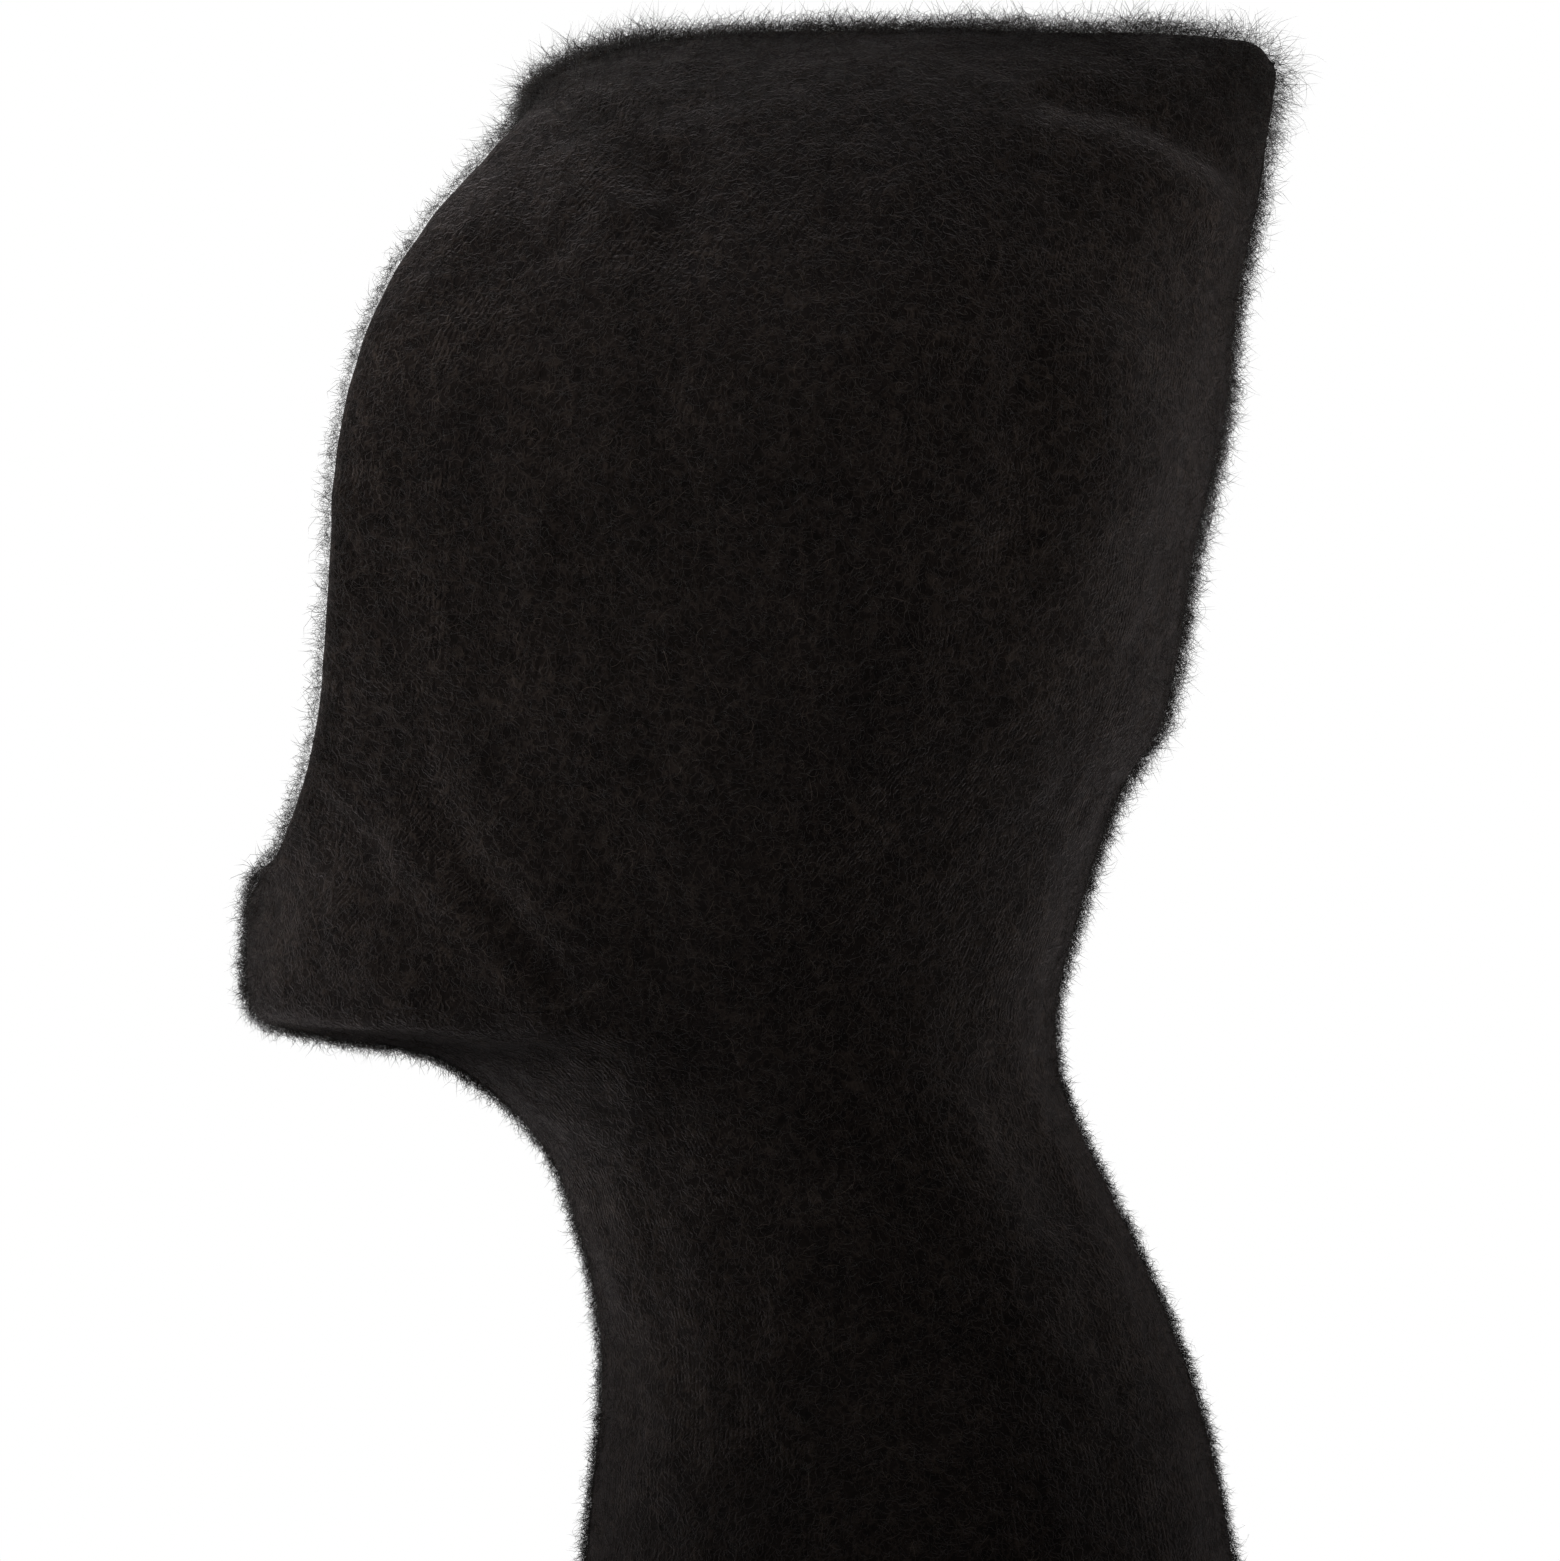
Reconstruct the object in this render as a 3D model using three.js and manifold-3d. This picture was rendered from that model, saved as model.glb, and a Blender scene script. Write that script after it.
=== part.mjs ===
// A brushed-knit balaclava in the shape it has on a head: two side panels sewn together over the crown,
// down the back and down the chin and front neck, a double band round the face opening, a double hem
// band at the neck, the inside seams with their stitches, and the labels.
// Millimetres. +Z is up, the face looks along -Y, and X = 0 is the plane between the two sides.
import * as THREE from "three";
import { mergeVertices } from "three/addons/utils/BufferGeometryUtils.js";
import Module from "manifold-3d";

// ---- Driving dimensions ----
const HEIGHT = 430; // hem to crown
const DEPTH = 260; // chin to the point at the back of the crown
const HEAD_HALF_WIDTH = 86;
const JAW_HALF_WIDTH = 71;
const NECK_HALF_WIDTH = 61;
const HEM_HALF_WIDTH = 90;
const OPENING_HALF_WIDTH = 68;
const FABRIC = 3; // thickness of the brushed knit
const BAND_WIDTH = 30; // face band, from the rim to its seam
const BAND_THICKNESS = 6; // two layers of knit
const HEM_DEPTH = 30;
const SEAM_DEPTH = 3; // how far a seam allowance stands inwards
const SEAM_WIDTH = 3; // the two plies of a seam allowance
const THREAD = 0.8; // thickness of a sewing yarn
const LOOP_SLACK = 0.4; // between a seam's free edge and the stitches that go round it
const LABEL_THICKNESS = 0.9;
const CARE_LABEL = { width: 32, length: 45, top: 118 };
const BRAND_LABEL = { width: 50, height: 18 };
const CLEARANCE = 0.3; // between pieces that touch
const TACK = { halfLength: 6, width: 2, fromEdge: 1 };
const LABEL_STITCH_EDGE = 2; // from the brand label's edge to its line of stitching

const BLACK_KNIT = { color: 0x171310, roughness: 0.95, metalness: 0 };
const BLACK_YARN = { color: 0x1d1a18, roughness: 0.8, metalness: 0 };
const LABEL_WEAVE = { color: 0x22201f, roughness: 0.6, metalness: 0 };
const CARE_SATIN = { color: 0xd9d7d2, roughness: 0.5, metalness: 0 };

// ---- Outlines seen from the side ----
// Each point is [share of the depth from the middle, share of the height], from the hem up.
const mm = ([y, z]) => [y * DEPTH, z * HEIGHT];
const FRONT = [
  [-0.185, 0], [-0.174, 0.11], [-0.158, 0.225], [-0.183, 0.304], [-0.225, 0.359], [-0.32, 0.402],
  [-0.42, 0.414], [-0.478, 0.421], [-0.496, 0.434], [-0.5, 0.458], [-0.492, 0.505],
].map(mm); // front neck, under the chin, chin
const RIM = [
  [-0.492, 0.505], [-0.466, 0.528], [-0.436, 0.582], [-0.421, 0.665], [-0.413, 0.75], [-0.394, 0.807],
  [-0.359, 0.858], [-0.312, 0.903], [-0.262, 0.937], [-0.232, 0.957], [-0.225, 0.97],
].map(mm); // edge of the face opening, from the chin ledge to the forehead seam
const BACK = [
  [0.477, 0], [0.45, 0.11], [0.404, 0.225], [0.334, 0.319], [0.291, 0.377], [0.282, 0.414],
  [0.291, 0.458], [0.339, 0.551], [0.385, 0.602], [0.413, 0.69], [0.441, 0.77], [0.458, 0.846],
  [0.477, 0.9], [0.49, 0.95], [0.5, 0.986],
].map(mm); // upper back, nape, back of the head, crown point
const CROWN = [
  [-0.225, 0.97], [-0.165, 0.984], [-0.096, 0.994], [0.08, 1], [0.3, 0.999], [0.46, 0.995], [0.5, 0.987],
].map(mm); // crown seam from the forehead to the crown point

const LEDGE = RIM[0];
const FOREHEAD = RIM.at(-1);
const OPENING_MIDDLE = (LEDGE[1] + FOREHEAD[1]) / 2;
const OPENING_HALF_HEIGHT = (FOREHEAD[1] - LEDGE[1]) / 2;

// A smooth curve through the points, as a function: cubic pieces with each point's slope taken
// from its two neighbours. Outside the points it keeps the end's value.
function through(points) {
  const last = points.length - 1;
  const slope = (i) => {
    const [a, b] = [points[Math.max(i - 1, 0)], points[Math.min(i + 1, last)]];
    return (b[1] - a[1]) / (b[0] - a[0]);
  };
  return (at) => {
    if (at <= points[0][0]) return points[0][1];
    if (at >= points[last][0]) return points[last][1];
    const i = points.findIndex((p) => p[0] > at) - 1;
    const [[x0, y0], [x1, y1]] = [points[i], points[i + 1]];
    const [long, t] = [x1 - x0, (at - x0) / (x1 - x0)];
    const [t2, t3] = [t * t, t * t * t];
    return (2 * t3 - 3 * t2 + 1) * y0 + (t3 - 2 * t2 + t) * long * slope(i)
      + (3 * t2 - 2 * t3) * y1 + (t3 - t2) * long * slope(i + 1);
  };
}

const swap = ([y, z]) => [z, y];
const ABOVE = HEIGHT + 20; // clear of the crown
const PAST_HEM = 5; // how far a form that is cut away runs down past the hem
const MOST_SHARE = 0.95; // of a round's half width, that the face opening may take
const clamp01 = (value) => Math.min(1, Math.max(0, value));

// The outline moved by a distance along its own normals, towards the inside of the hood.
function moved(points, distance, side) {
  const curve = new THREE.SplineCurve(points.map(([y, z]) => new THREE.Vector2(y, z)));
  const out = [];
  const steps = 6 * (points.length - 1);
  for (let i = 0; i <= steps; i += 1) {
    const [p, t] = [curve.getPoint(i / steps), curve.getTangent(i / steps)];
    out.push([p.x + side * distance * t.y, p.y - side * distance * t.x]);
  }
  return out.filter((p, i) => i === 0 || p[1] > out[i - 1][1] + 0.01);
}

// ---- The head form ----
// Horizontal rounds stacked from the hem to the crown. A level is a round's height before the crown
// seam lifts it. Above the middle of the opening the rounds close over the top like an ellipse.
const halfWidthBelow = through([
  [0, HEM_HALF_WIDTH],
  [0.12 * HEIGHT, 0.5 * (HEM_HALF_WIDTH + NECK_HALF_WIDTH) + 1],
  [0.24 * HEIGHT, NECK_HALF_WIDTH + 4],
  [0.36 * HEIGHT, NECK_HALF_WIDTH],
  [0.44 * HEIGHT, 0.5 * (NECK_HALF_WIDTH + JAW_HALF_WIDTH)],
  [LEDGE[1], JAW_HALF_WIDTH],
  [OPENING_MIDDLE, HEAD_HALF_WIDTH],
]);
const widestAt = through([
  [0, 0.15 * DEPTH], [0.225 * HEIGHT, 0.12 * DEPTH], [0.37 * HEIGHT, 0.03 * DEPTH],
  [0.44 * HEIGHT, -0.04 * DEPTH], [0.6 * HEIGHT, 0], [0.97 * HEIGHT, 0.06 * DEPTH],
]); // where along the depth a round is widest
const crownHeight = through(CROWN);
const lift = (y) => crownHeight(y) - FOREHEAD[1];

// The form, smaller by inset all round, as the measures of the round at a level.
function formOf(inset) {
  const front = through(moved([...FRONT, ...RIM.slice(1)], inset, 1).map(swap));
  const back = through(moved(BACK, inset, -1).map(swap));
  const domeHeight = OPENING_HALF_HEIGHT - inset;
  const widestRim = OPENING_HALF_WIDTH - inset;
  return (level) => {
    const up = clamp01((level - OPENING_MIDDLE) / domeHeight);
    const closing = Math.sqrt(1 - up * up);
    const half = level > OPENING_MIDDLE ? (HEAD_HALF_WIDTH - inset) * closing : halfWidthBelow(level) - inset;
    const down = clamp01((OPENING_MIDDLE - level) / OPENING_HALF_HEIGHT);
    const middle = widestAt(level);
    const share = level > OPENING_MIDDLE
      ? widestRim / (HEAD_HALF_WIDTH - inset)
      : Math.min((widestRim * Math.sqrt(1 - down * down)) / half, MOST_SHARE);
    return {
      level, half, middle, rise: up * up, point: 1 + 0.5 * up * up,
      forward: (middle - front(level)) / Math.sqrt(1 - share * share),
      backward: back(level + up * up * lift(DEPTH / 2)) - middle,
    };
  };
}

// The point of a round at an angle: 0 at the front, half a turn at the back.
function pointOf(round, angle, side) {
  const [along, across] = [Math.cos(angle), Math.abs(Math.sin(angle))];
  const behind = along < 0;
  const y = round.middle - along * (behind ? round.backward : round.forward);
  const x = side * round.half * across ** (behind ? round.point : 1);
  return new THREE.Vector3(x, y, round.level + round.rise * lift(y));
}

const evenly = (from, to, count) => Array.from({ length: count }, (_, i) => from + ((to - from) * i) / count);
const ROUND_POINTS = 18; // on each side

function levelsOf(inset) {
  const underChin = [FRONT[4][1], FRONT[8][1]];
  const dome = evenly(0, Math.PI / 2, 11).slice(1)
    .map((angle) => OPENING_MIDDLE + (OPENING_HALF_HEIGHT - inset) * Math.sin(angle));
  return [
    ...evenly(0, underChin[0], 8),
    ...evenly(underChin[0], underChin[1], 9),
    ...evenly(underChin[1], LEDGE[1], 3),
    ...evenly(LEDGE[1], OPENING_MIDDLE, 7),
    OPENING_MIDDLE, ...dome, FOREHEAD[1] - inset,
  ];
}

const wasm = await Module();
wasm.setup();

function solidOf(geometry) {
  const bare = geometry.clone();
  bare.deleteAttribute("normal");
  bare.deleteAttribute("uv");
  const merged = mergeVertices(bare, 1e-4);
  const corners = merged.index.array;
  const kept = [];
  for (let i = 0; i < corners.length; i += 3) {
    const [a, b, c] = corners.slice(i, i + 3);
    if (a !== b && b !== c && c !== a) kept.push(a, b, c);
  }
  return new wasm.Manifold(new wasm.Mesh({
    numProp: 3,
    vertProperties: new Float32Array(merged.attributes.position.array),
    triVerts: new Uint32Array(kept),
  }));
}

function geometryOf(solid) {
  const mesh = solid.getMesh();
  const geometry = new THREE.BufferGeometry();
  geometry.setAttribute("position", new THREE.BufferAttribute(new Float32Array(mesh.vertProperties), 3));
  geometry.setIndex(new THREE.BufferAttribute(new Uint32Array(mesh.triVerts), 1));
  geometry.computeVertexNormals();
  return geometry;
}

// The whole form as one closed solid. drop makes it run down past the hem.
function formSolid(inset, drop = 0) {
  const form = formOf(inset);
  const levels = levelsOf(inset);
  const rounds = [...(drop > 0 ? [0] : []), ...levels].map((level) => form(level));
  const around = 2 * ROUND_POINTS;
  const positions = [];
  rounds.forEach((round, row) => {
    for (let k = 0; k < around; k += 1) {
      const turn = (k * Math.PI) / ROUND_POINTS;
      const p = pointOf(round, turn <= Math.PI ? turn : 2 * Math.PI - turn, turn <= Math.PI ? 1 : -1);
      if (k === 0 || k === ROUND_POINTS || row === rounds.length - 1) p.x = 0;
      positions.push(p.x, p.y, row === 0 ? -drop : p.z);
    }
  });
  const faces = [];
  for (let row = 0; row + 1 < rounds.length; row += 1) {
    for (let k = 0; k < around; k += 1) {
      const next = (k + 1) % around;
      const [a, b] = [row * around + k, row * around + next];
      faces.push(a, b, b + around, a, b + around, a + around);
    }
  }
  for (let k = 1; k + 1 < around; k += 1) faces.push(0, k + 1, k);
  const geometry = new THREE.BufferGeometry();
  geometry.setAttribute("position", new THREE.BufferAttribute(new Float32Array(positions), 3));
  geometry.setIndex(faces);
  return solidOf(geometry);
}

// The layer of the form between two depths under its surface.
const layer = (outer, inner) => formSolid(outer).subtract(formSolid(inner, PAST_HEM));

function block(x0, x1, y0, y1, z0, z1) {
  const box = new THREE.BoxGeometry(x1 - x0, y1 - y0, z1 - z0);
  return solidOf(box.translate((x0 + x1) / 2, (y0 + y1) / 2, (z0 + z1) / 2));
}

const allBetween = (z0, z1) => block(-DEPTH, DEPTH, -DEPTH, DEPTH, z0, z1);

// A side-view outline pushed out across the hood.
function cutter(points, halfWidth = DEPTH) {
  const shape = new THREE.Shape(points.map(([y, z]) => new THREE.Vector2(y, z)));
  const geometry = new THREE.ExtrudeGeometry(shape, { depth: 2 * halfWidth, bevelEnabled: false });
  geometry.translate(0, 0, -halfWidth);
  const axes = [[0, 1, 0], [0, 0, 1], [1, 0, 0]].map((axis) => new THREE.Vector3(...axis));
  return solidOf(geometry.applyMatrix4(new THREE.Matrix4().makeBasis(...axes)));
}

// The line at a distance behind the rim, from above the forehead seam down to in front of the chin.
function behindRim(distance) {
  const rim = moved(RIM, distance, 1);
  const first = Math.atan2(rim[0][1] - LEDGE[1], rim[0][0] - LEDGE[0]);
  const round = evenly(-Math.PI / 2, first, 7)
    .map((angle) => [LEDGE[0] + distance * Math.cos(angle), LEDGE[1] + distance * Math.sin(angle)]);
  const top = [rim.at(-1)[0], ABOVE];
  return [...(distance > 0 ? round : []), ...rim, top];
}

// Everything in front of that line.
function inFrontOf(distance) {
  const line = behindRim(distance);
  const far = -DEPTH;
  return cutter([...line, [far, ABOVE], [far, LEDGE[1] - distance]]);
}

// ---- The pieces ----
const opening = inFrontOf(0);

function sidePanel(side) {
  const shell = layer(0, FABRIC);
  const half = side > 0
    ? block(CLEARANCE / 2, DEPTH, -DEPTH, DEPTH, HEM_DEPTH + CLEARANCE, ABOVE)
    : block(-DEPTH, -CLEARANCE / 2, -DEPTH, DEPTH, HEM_DEPTH + CLEARANCE, ABOVE);
  return shell.intersect(half).subtract(inFrontOf(BAND_WIDTH + CLEARANCE));
}

const faceBand = () => layer(0, BAND_THICKNESS).intersect(inFrontOf(BAND_WIDTH)).subtract(opening);

const neckHemBand = () => layer(0, BAND_THICKNESS).intersect(allBetween(-PAST_HEM, HEM_DEPTH));

// A seam allowance: the two plies stand inwards in the plane between the sides.
const SEAM_OUTER = FABRIC + CLEARANCE;
const SEAM_INNER = SEAM_OUTER + SEAM_DEPTH;
const SLEEVE_INNER = SEAM_INNER + LOOP_SLACK + THREAD;
const SEAM_START = BAND_WIDTH + 4; // behind the linking yarn of the face band
const CROWN_SEAM_END = 0.43 * DEPTH;
const BACK_SEAM_TOP = 0.94 * HEIGHT;
const SEAM_FOOT = HEM_DEPTH + 4;

function seamRidge(outer) {
  const slab = block(-SEAM_WIDTH / 2, SEAM_WIDTH / 2, -DEPTH, DEPTH, SEAM_FOOT, ABOVE);
  return layer(outer, outer + SEAM_DEPTH).intersect(slab);
}

// Where each seam runs. The crown and back seams stop short of the point where they cross.
const crownRegion = () => block(-DEPTH, DEPTH, -DEPTH, CROWN_SEAM_END, BACK_SEAM_TOP, ABOVE);
const backRegion = () => block(-DEPTH, DEPTH, 0, DEPTH, 0, BACK_SEAM_TOP);
const frontRegion = () => block(-DEPTH, DEPTH, -DEPTH, 0, 0, LEDGE[1]);
const seam = (region) => seamRidge(SEAM_OUTER).intersect(region).subtract(inFrontOf(SEAM_START));

// The short join where the ends of a band meet, inside the band.
function bandJoin(region) {
  const outer = BAND_THICKNESS + CLEARANCE;
  const slab = block(-SEAM_WIDTH / 2, SEAM_WIDTH / 2, -DEPTH, DEPTH, 0, HEIGHT);
  return layer(outer, outer + SEAM_DEPTH / 2).intersect(slab).intersect(region);
}

const JOIN_FOOT = LEDGE[1] - BAND_WIDTH + 2 * BAND_THICKNESS; // above the corner under the chin

const JOIN_MARGIN = 3; // from a join's end to the edge of its band
const faceBandJoin = () => bandJoin(block(-DEPTH, DEPTH, -DEPTH, 0, JOIN_FOOT, LEDGE[1] - JOIN_MARGIN));
const hemBandJoin = () => bandJoin(block(-DEPTH, DEPTH, -DEPTH, 0, JOIN_MARGIN, HEM_DEPTH - JOIN_MARGIN));

// The overlock stitches lie so close that they make one sleeve round the free edge of an allowance.
function overlock(region) {
  const inside = SEAM_WIDTH / 2 + CLEARANCE;
  const outside = inside + THREAD;
  const slab = (half) => block(-half, half, -DEPTH, DEPTH, SEAM_FOOT + 2, ABOVE);
  const sleeve = layer(SEAM_OUTER + CLEARANCE, SLEEVE_INNER).intersect(slab(outside));
  const edge = layer(0, SEAM_INNER + LOOP_SLACK).intersect(slab(inside));
  return sleeve.subtract(edge).intersect(region).subtract(inFrontOf(SEAM_START + 2));
}

// The linking yarns lie in the step beside a band, on the inside of the panels.
const yarnLayer = () => layer(FABRIC + CLEARANCE, FABRIC + CLEARANCE + THREAD);
const YARN_NEAR = CLEARANCE;
const YARN_FAR = CLEARANCE + THREAD;

const faceBandLinking = () => yarnLayer()
  .intersect(inFrontOf(BAND_WIDTH + YARN_FAR)).subtract(inFrontOf(BAND_WIDTH + YARN_NEAR));
const hemLinking = () => yarnLayer()
  .intersect(allBetween(HEM_DEPTH + YARN_NEAR, HEM_DEPTH + YARN_FAR));

// A bar tack across the end of a seam, on the inside of the face band.
function barTack(region) {
  const outer = BAND_THICKNESS + CLEARANCE;
  return layer(outer, outer + 2 * THREAD).intersect(region);
}

const crownBarTack = () => {
  const y = behindRim(BAND_WIDTH - TACK.width - TACK.fromEdge).at(-2)[0];
  return barTack(block(-TACK.halfLength, TACK.halfLength, y - TACK.width, y, OPENING_MIDDLE, HEIGHT));
};
const chinBarTack = () => {
  const top = JOIN_FOOT - TACK.fromEdge;
  return barTack(block(-TACK.halfLength, TACK.halfLength, -DEPTH, 0, top - TACK.width, top));
};

const BRAND_INSET = BAND_THICKNESS + CLEARANCE;
const BRAND_BOTTOM = (HEM_DEPTH - BRAND_LABEL.height) / 2;

function brandLabel() {
  const half = BRAND_LABEL.width / 2;
  const place = block(-half, half, 0, DEPTH, BRAND_BOTTOM, BRAND_BOTTOM + BRAND_LABEL.height);
  return layer(BRAND_INSET, BRAND_INSET + LABEL_THICKNESS).intersect(place);
}

// The line of stitching round the edge of the blank label.
function brandLabelStitching() {
  const outer = BRAND_INSET + LABEL_THICKNESS + CLEARANCE;
  const framed = (margin) => block(
    margin - BRAND_LABEL.width / 2, BRAND_LABEL.width / 2 - margin, 0, DEPTH,
    BRAND_BOTTOM + margin, BRAND_BOTTOM + BRAND_LABEL.height - margin,
  );
  const line = framed(LABEL_STITCH_EDGE).subtract(framed(LABEL_STITCH_EDGE + THREAD));
  return layer(outer, outer + THREAD).intersect(line);
}

// The care label hangs from its top edge, on the stitches of the back seam.
function careLabel() {
  const { width, length, top } = CARE_LABEL;
  const wall = formOf(SLEEVE_INNER + 2 * CLEARANCE)(top);
  const outer = wall.middle + wall.backward;
  return block(-width / 2, width / 2, outer - LABEL_THICKNESS, outer, top - length, top);
}

// ---- The assembly ----
const balaclava = new THREE.Group();

function piece(name, solid, look) {
  const mesh = new THREE.Mesh(geometryOf(solid), new THREE.MeshStandardMaterial(look));
  mesh.name = name;
  balaclava.add(mesh);
}

piece("left_side_panel", sidePanel(1), BLACK_KNIT);
piece("right_side_panel", sidePanel(-1), BLACK_KNIT);
piece("face_band", faceBand(), BLACK_KNIT);
piece("neck_hem_band", neckHemBand(), BLACK_KNIT);
piece("crown_seam", seam(crownRegion()), BLACK_KNIT);
piece("back_seam", seam(backRegion()), BLACK_KNIT);
piece("chin_neck_seam", seam(frontRegion()), BLACK_KNIT);
piece("face_band_join", faceBandJoin(), BLACK_KNIT);
piece("neck_hem_join", hemBandJoin(), BLACK_KNIT);
piece("crown_overlock", overlock(crownRegion()), BLACK_YARN);
piece("back_overlock", overlock(backRegion()), BLACK_YARN);
piece("chin_neck_overlock", overlock(frontRegion()), BLACK_YARN);
piece("face_band_linking", faceBandLinking(), BLACK_YARN);
piece("neck_hem_linking", hemLinking(), BLACK_YARN);
piece("crown_bar_tack", crownBarTack(), BLACK_YARN);
piece("chin_bar_tack", chinBarTack(), BLACK_YARN);
piece("brand_label", brandLabel(), LABEL_WEAVE);
piece("brand_label_stitching", brandLabelStitching(), BLACK_YARN);
piece("care_label", careLabel(), CARE_SATIN);

export default balaclava;
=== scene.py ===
"""A brushed-knit balaclava in the shape it has on a head: two side panels sewn together over the crown,
down the back and down the chin and front neck, a folded band round the face opening, a folded hem band
at the neck, the inside seams with their stitches, two labels, and the nap of the brushed yarn.
Lengths are in millimetres until a mesh is made. +Z is up and the face looks along -Y."""

import math

import bpy
import numpy as np
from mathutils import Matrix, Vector, kdtree, noise


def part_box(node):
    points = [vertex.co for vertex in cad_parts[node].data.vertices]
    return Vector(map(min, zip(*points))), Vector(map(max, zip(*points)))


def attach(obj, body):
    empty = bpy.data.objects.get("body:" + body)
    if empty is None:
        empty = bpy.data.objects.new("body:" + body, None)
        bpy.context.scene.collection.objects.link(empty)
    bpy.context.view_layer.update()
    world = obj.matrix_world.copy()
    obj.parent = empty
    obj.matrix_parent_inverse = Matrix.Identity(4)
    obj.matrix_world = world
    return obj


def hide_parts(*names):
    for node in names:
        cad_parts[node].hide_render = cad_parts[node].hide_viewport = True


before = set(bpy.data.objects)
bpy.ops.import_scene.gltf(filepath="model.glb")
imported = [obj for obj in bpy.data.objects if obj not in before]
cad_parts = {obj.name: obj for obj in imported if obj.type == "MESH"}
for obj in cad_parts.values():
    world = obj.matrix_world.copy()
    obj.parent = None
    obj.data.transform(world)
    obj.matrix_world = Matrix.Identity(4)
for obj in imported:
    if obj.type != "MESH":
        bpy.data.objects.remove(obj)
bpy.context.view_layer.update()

bpy.ops.object.select_all(action="DESELECT")

MM = 0.001
HOOD, CARE_BODY = "hood", "care_label"

# ---- Measures of the hood, the same as in the frame's model ----
HEIGHT, DEPTH = 430.0, 260.0
HEAD_HALF_WIDTH, JAW_HALF_WIDTH, NECK_HALF_WIDTH, HEM_HALF_WIDTH = 86.0, 71.0, 61.0, 90.0
OPENING_HALF_WIDTH = 68.0
FABRIC = 3.0
BAND_WIDTH, BAND_THICKNESS, HEM_DEPTH = 30.0, 6.0, 30.0
PLY = 2.7  # one layer of a folded band
CLEARANCE = 0.3
SEAM_DEPTH, SEAM_OUTER = 3.0, FABRIC + CLEARANCE
LINK_REACH, LINK_DEPTH = 0.9, 0.45  # from the linked edge and from the cloth to the middle of the stitches
RIGHT = np.array([1.0, 0.0, 0.0])

# ---- Camera, light and floor, in metres and watts ----
CAMERA_DISTANCE, VIEW_WIDTH, SENSOR_WIDTH = 4.0, 0.3902, 36.0
VIEW_DEPTH, VIEW_HEIGHT = 0.00375, 0.2421
ROOM_LIGHT, FLOOR_GLOW = 0.04, 0.62
FLOOR_RADIUS, FLOOR_GAP = 0.58, 0.0006
WHITE = (1, 1, 1, 1)
LAMPS = (  # name, place, the point it is turned to, size, power, spread
    ("front", (0.16, -0.54, 0.40), (0, 0, 0.34), 0.26, 0.62, 1.15),
    ("back", (0.26, 0.56, 0.40), (0, 0, 0.34), 0.26, 0.36, 1.3),
    ("side", (0.52, -0.12, 0.35), (0, 0, 0.33), 0.28, 0.062, 1.3),
    ("low_front", (0.20, -0.44, 0.03), (0, -0.07, 0.16), 0.26, 0.035, 1.3),
    ("far_front", (-0.24, -0.48, 0.40), (0, 0, 0.34), 0.26, 0.40, 1.3),
    ("far_back", (-0.26, 0.56, 0.40), (0, 0, 0.30), 0.26, 0.42, 1.5),
    ("far_side", (-0.52, 0.05, 0.42), (0, 0, 0.28), 0.28, 0.16, 1.7),
)


def set_up_camera(scene):
    camera = bpy.data.objects.new("camera", bpy.data.cameras.new("camera"))
    scene.collection.objects.link(camera)
    scene.camera = camera
    camera.data.sensor_width = SENSOR_WIDTH
    camera.data.lens = SENSOR_WIDTH * CAMERA_DISTANCE / VIEW_WIDTH
    camera.data.clip_end = 30.0
    camera.location = (CAMERA_DISTANCE, VIEW_DEPTH, VIEW_HEIGHT)
    camera.rotation_euler = (math.pi / 2, 0, math.pi / 2)


def camera_ray(tree):
    return tree.nodes.new("ShaderNodeLightPath").outputs["Is Camera Ray"]


def set_up_room(scene):
    """A white backdrop for the camera, and a weak even light for everything else."""
    world = bpy.data.worlds.new("studio")
    world.use_nodes = True
    tree = world.node_tree
    backdrop, room = tree.nodes["Background"], tree.nodes.new("ShaderNodeBackground")
    mix = tree.nodes.new("ShaderNodeMixShader")
    tree.links.new(camera_ray(tree), mix.inputs[0])
    for place, part, strength in ((1, room, ROOM_LIGHT), (2, backdrop, 1.0)):
        part.inputs["Color"].default_value = WHITE
        part.inputs["Strength"].default_value = strength
        tree.links.new(part.outputs[0], mix.inputs[place])
    tree.links.new(mix.outputs[0], tree.nodes["World Output"].inputs["Surface"])
    scene.world = world


def hang_lamps(scene):
    for name, place, aim, size, watts, spread in LAMPS:
        light = bpy.data.lights.new(name, "AREA")
        light.size, light.energy, light.spread = size, watts, spread
        lamp = bpy.data.objects.new(name, light)
        scene.collection.objects.link(lamp)
        lamp.location = place
        lamp.visible_camera = False
        lamp.rotation_euler = (Vector(aim) - Vector(place)).to_track_quat("-Z", "Y").to_euler()


def lay_floor():
    """A pale round floor, which glows for the camera alone so that it meets the backdrop softly."""
    bpy.ops.mesh.primitive_circle_add(
        vertices=96, radius=FLOOR_RADIUS, fill_type="NGON", location=(0, 0, -FLOOR_GAP)
    )
    floor = bpy.context.object
    floor.name = "studio_floor"
    pale = plain_finish("pale_floor", (0.86, 0.86, 0.86), 0.8)
    n = Nodes(pale)
    n.shader.inputs["Emission Color"].default_value = WHITE
    glow = n.math("MULTIPLY", camera_ray(n.tree), FLOOR_GLOW)
    n.tree.links.new(glow, n.shader.inputs["Emission Strength"])
    floor.data.materials.append(pale)
    bpy.ops.object.transform_apply(location=True)
    floor.select_set(False)


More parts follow.
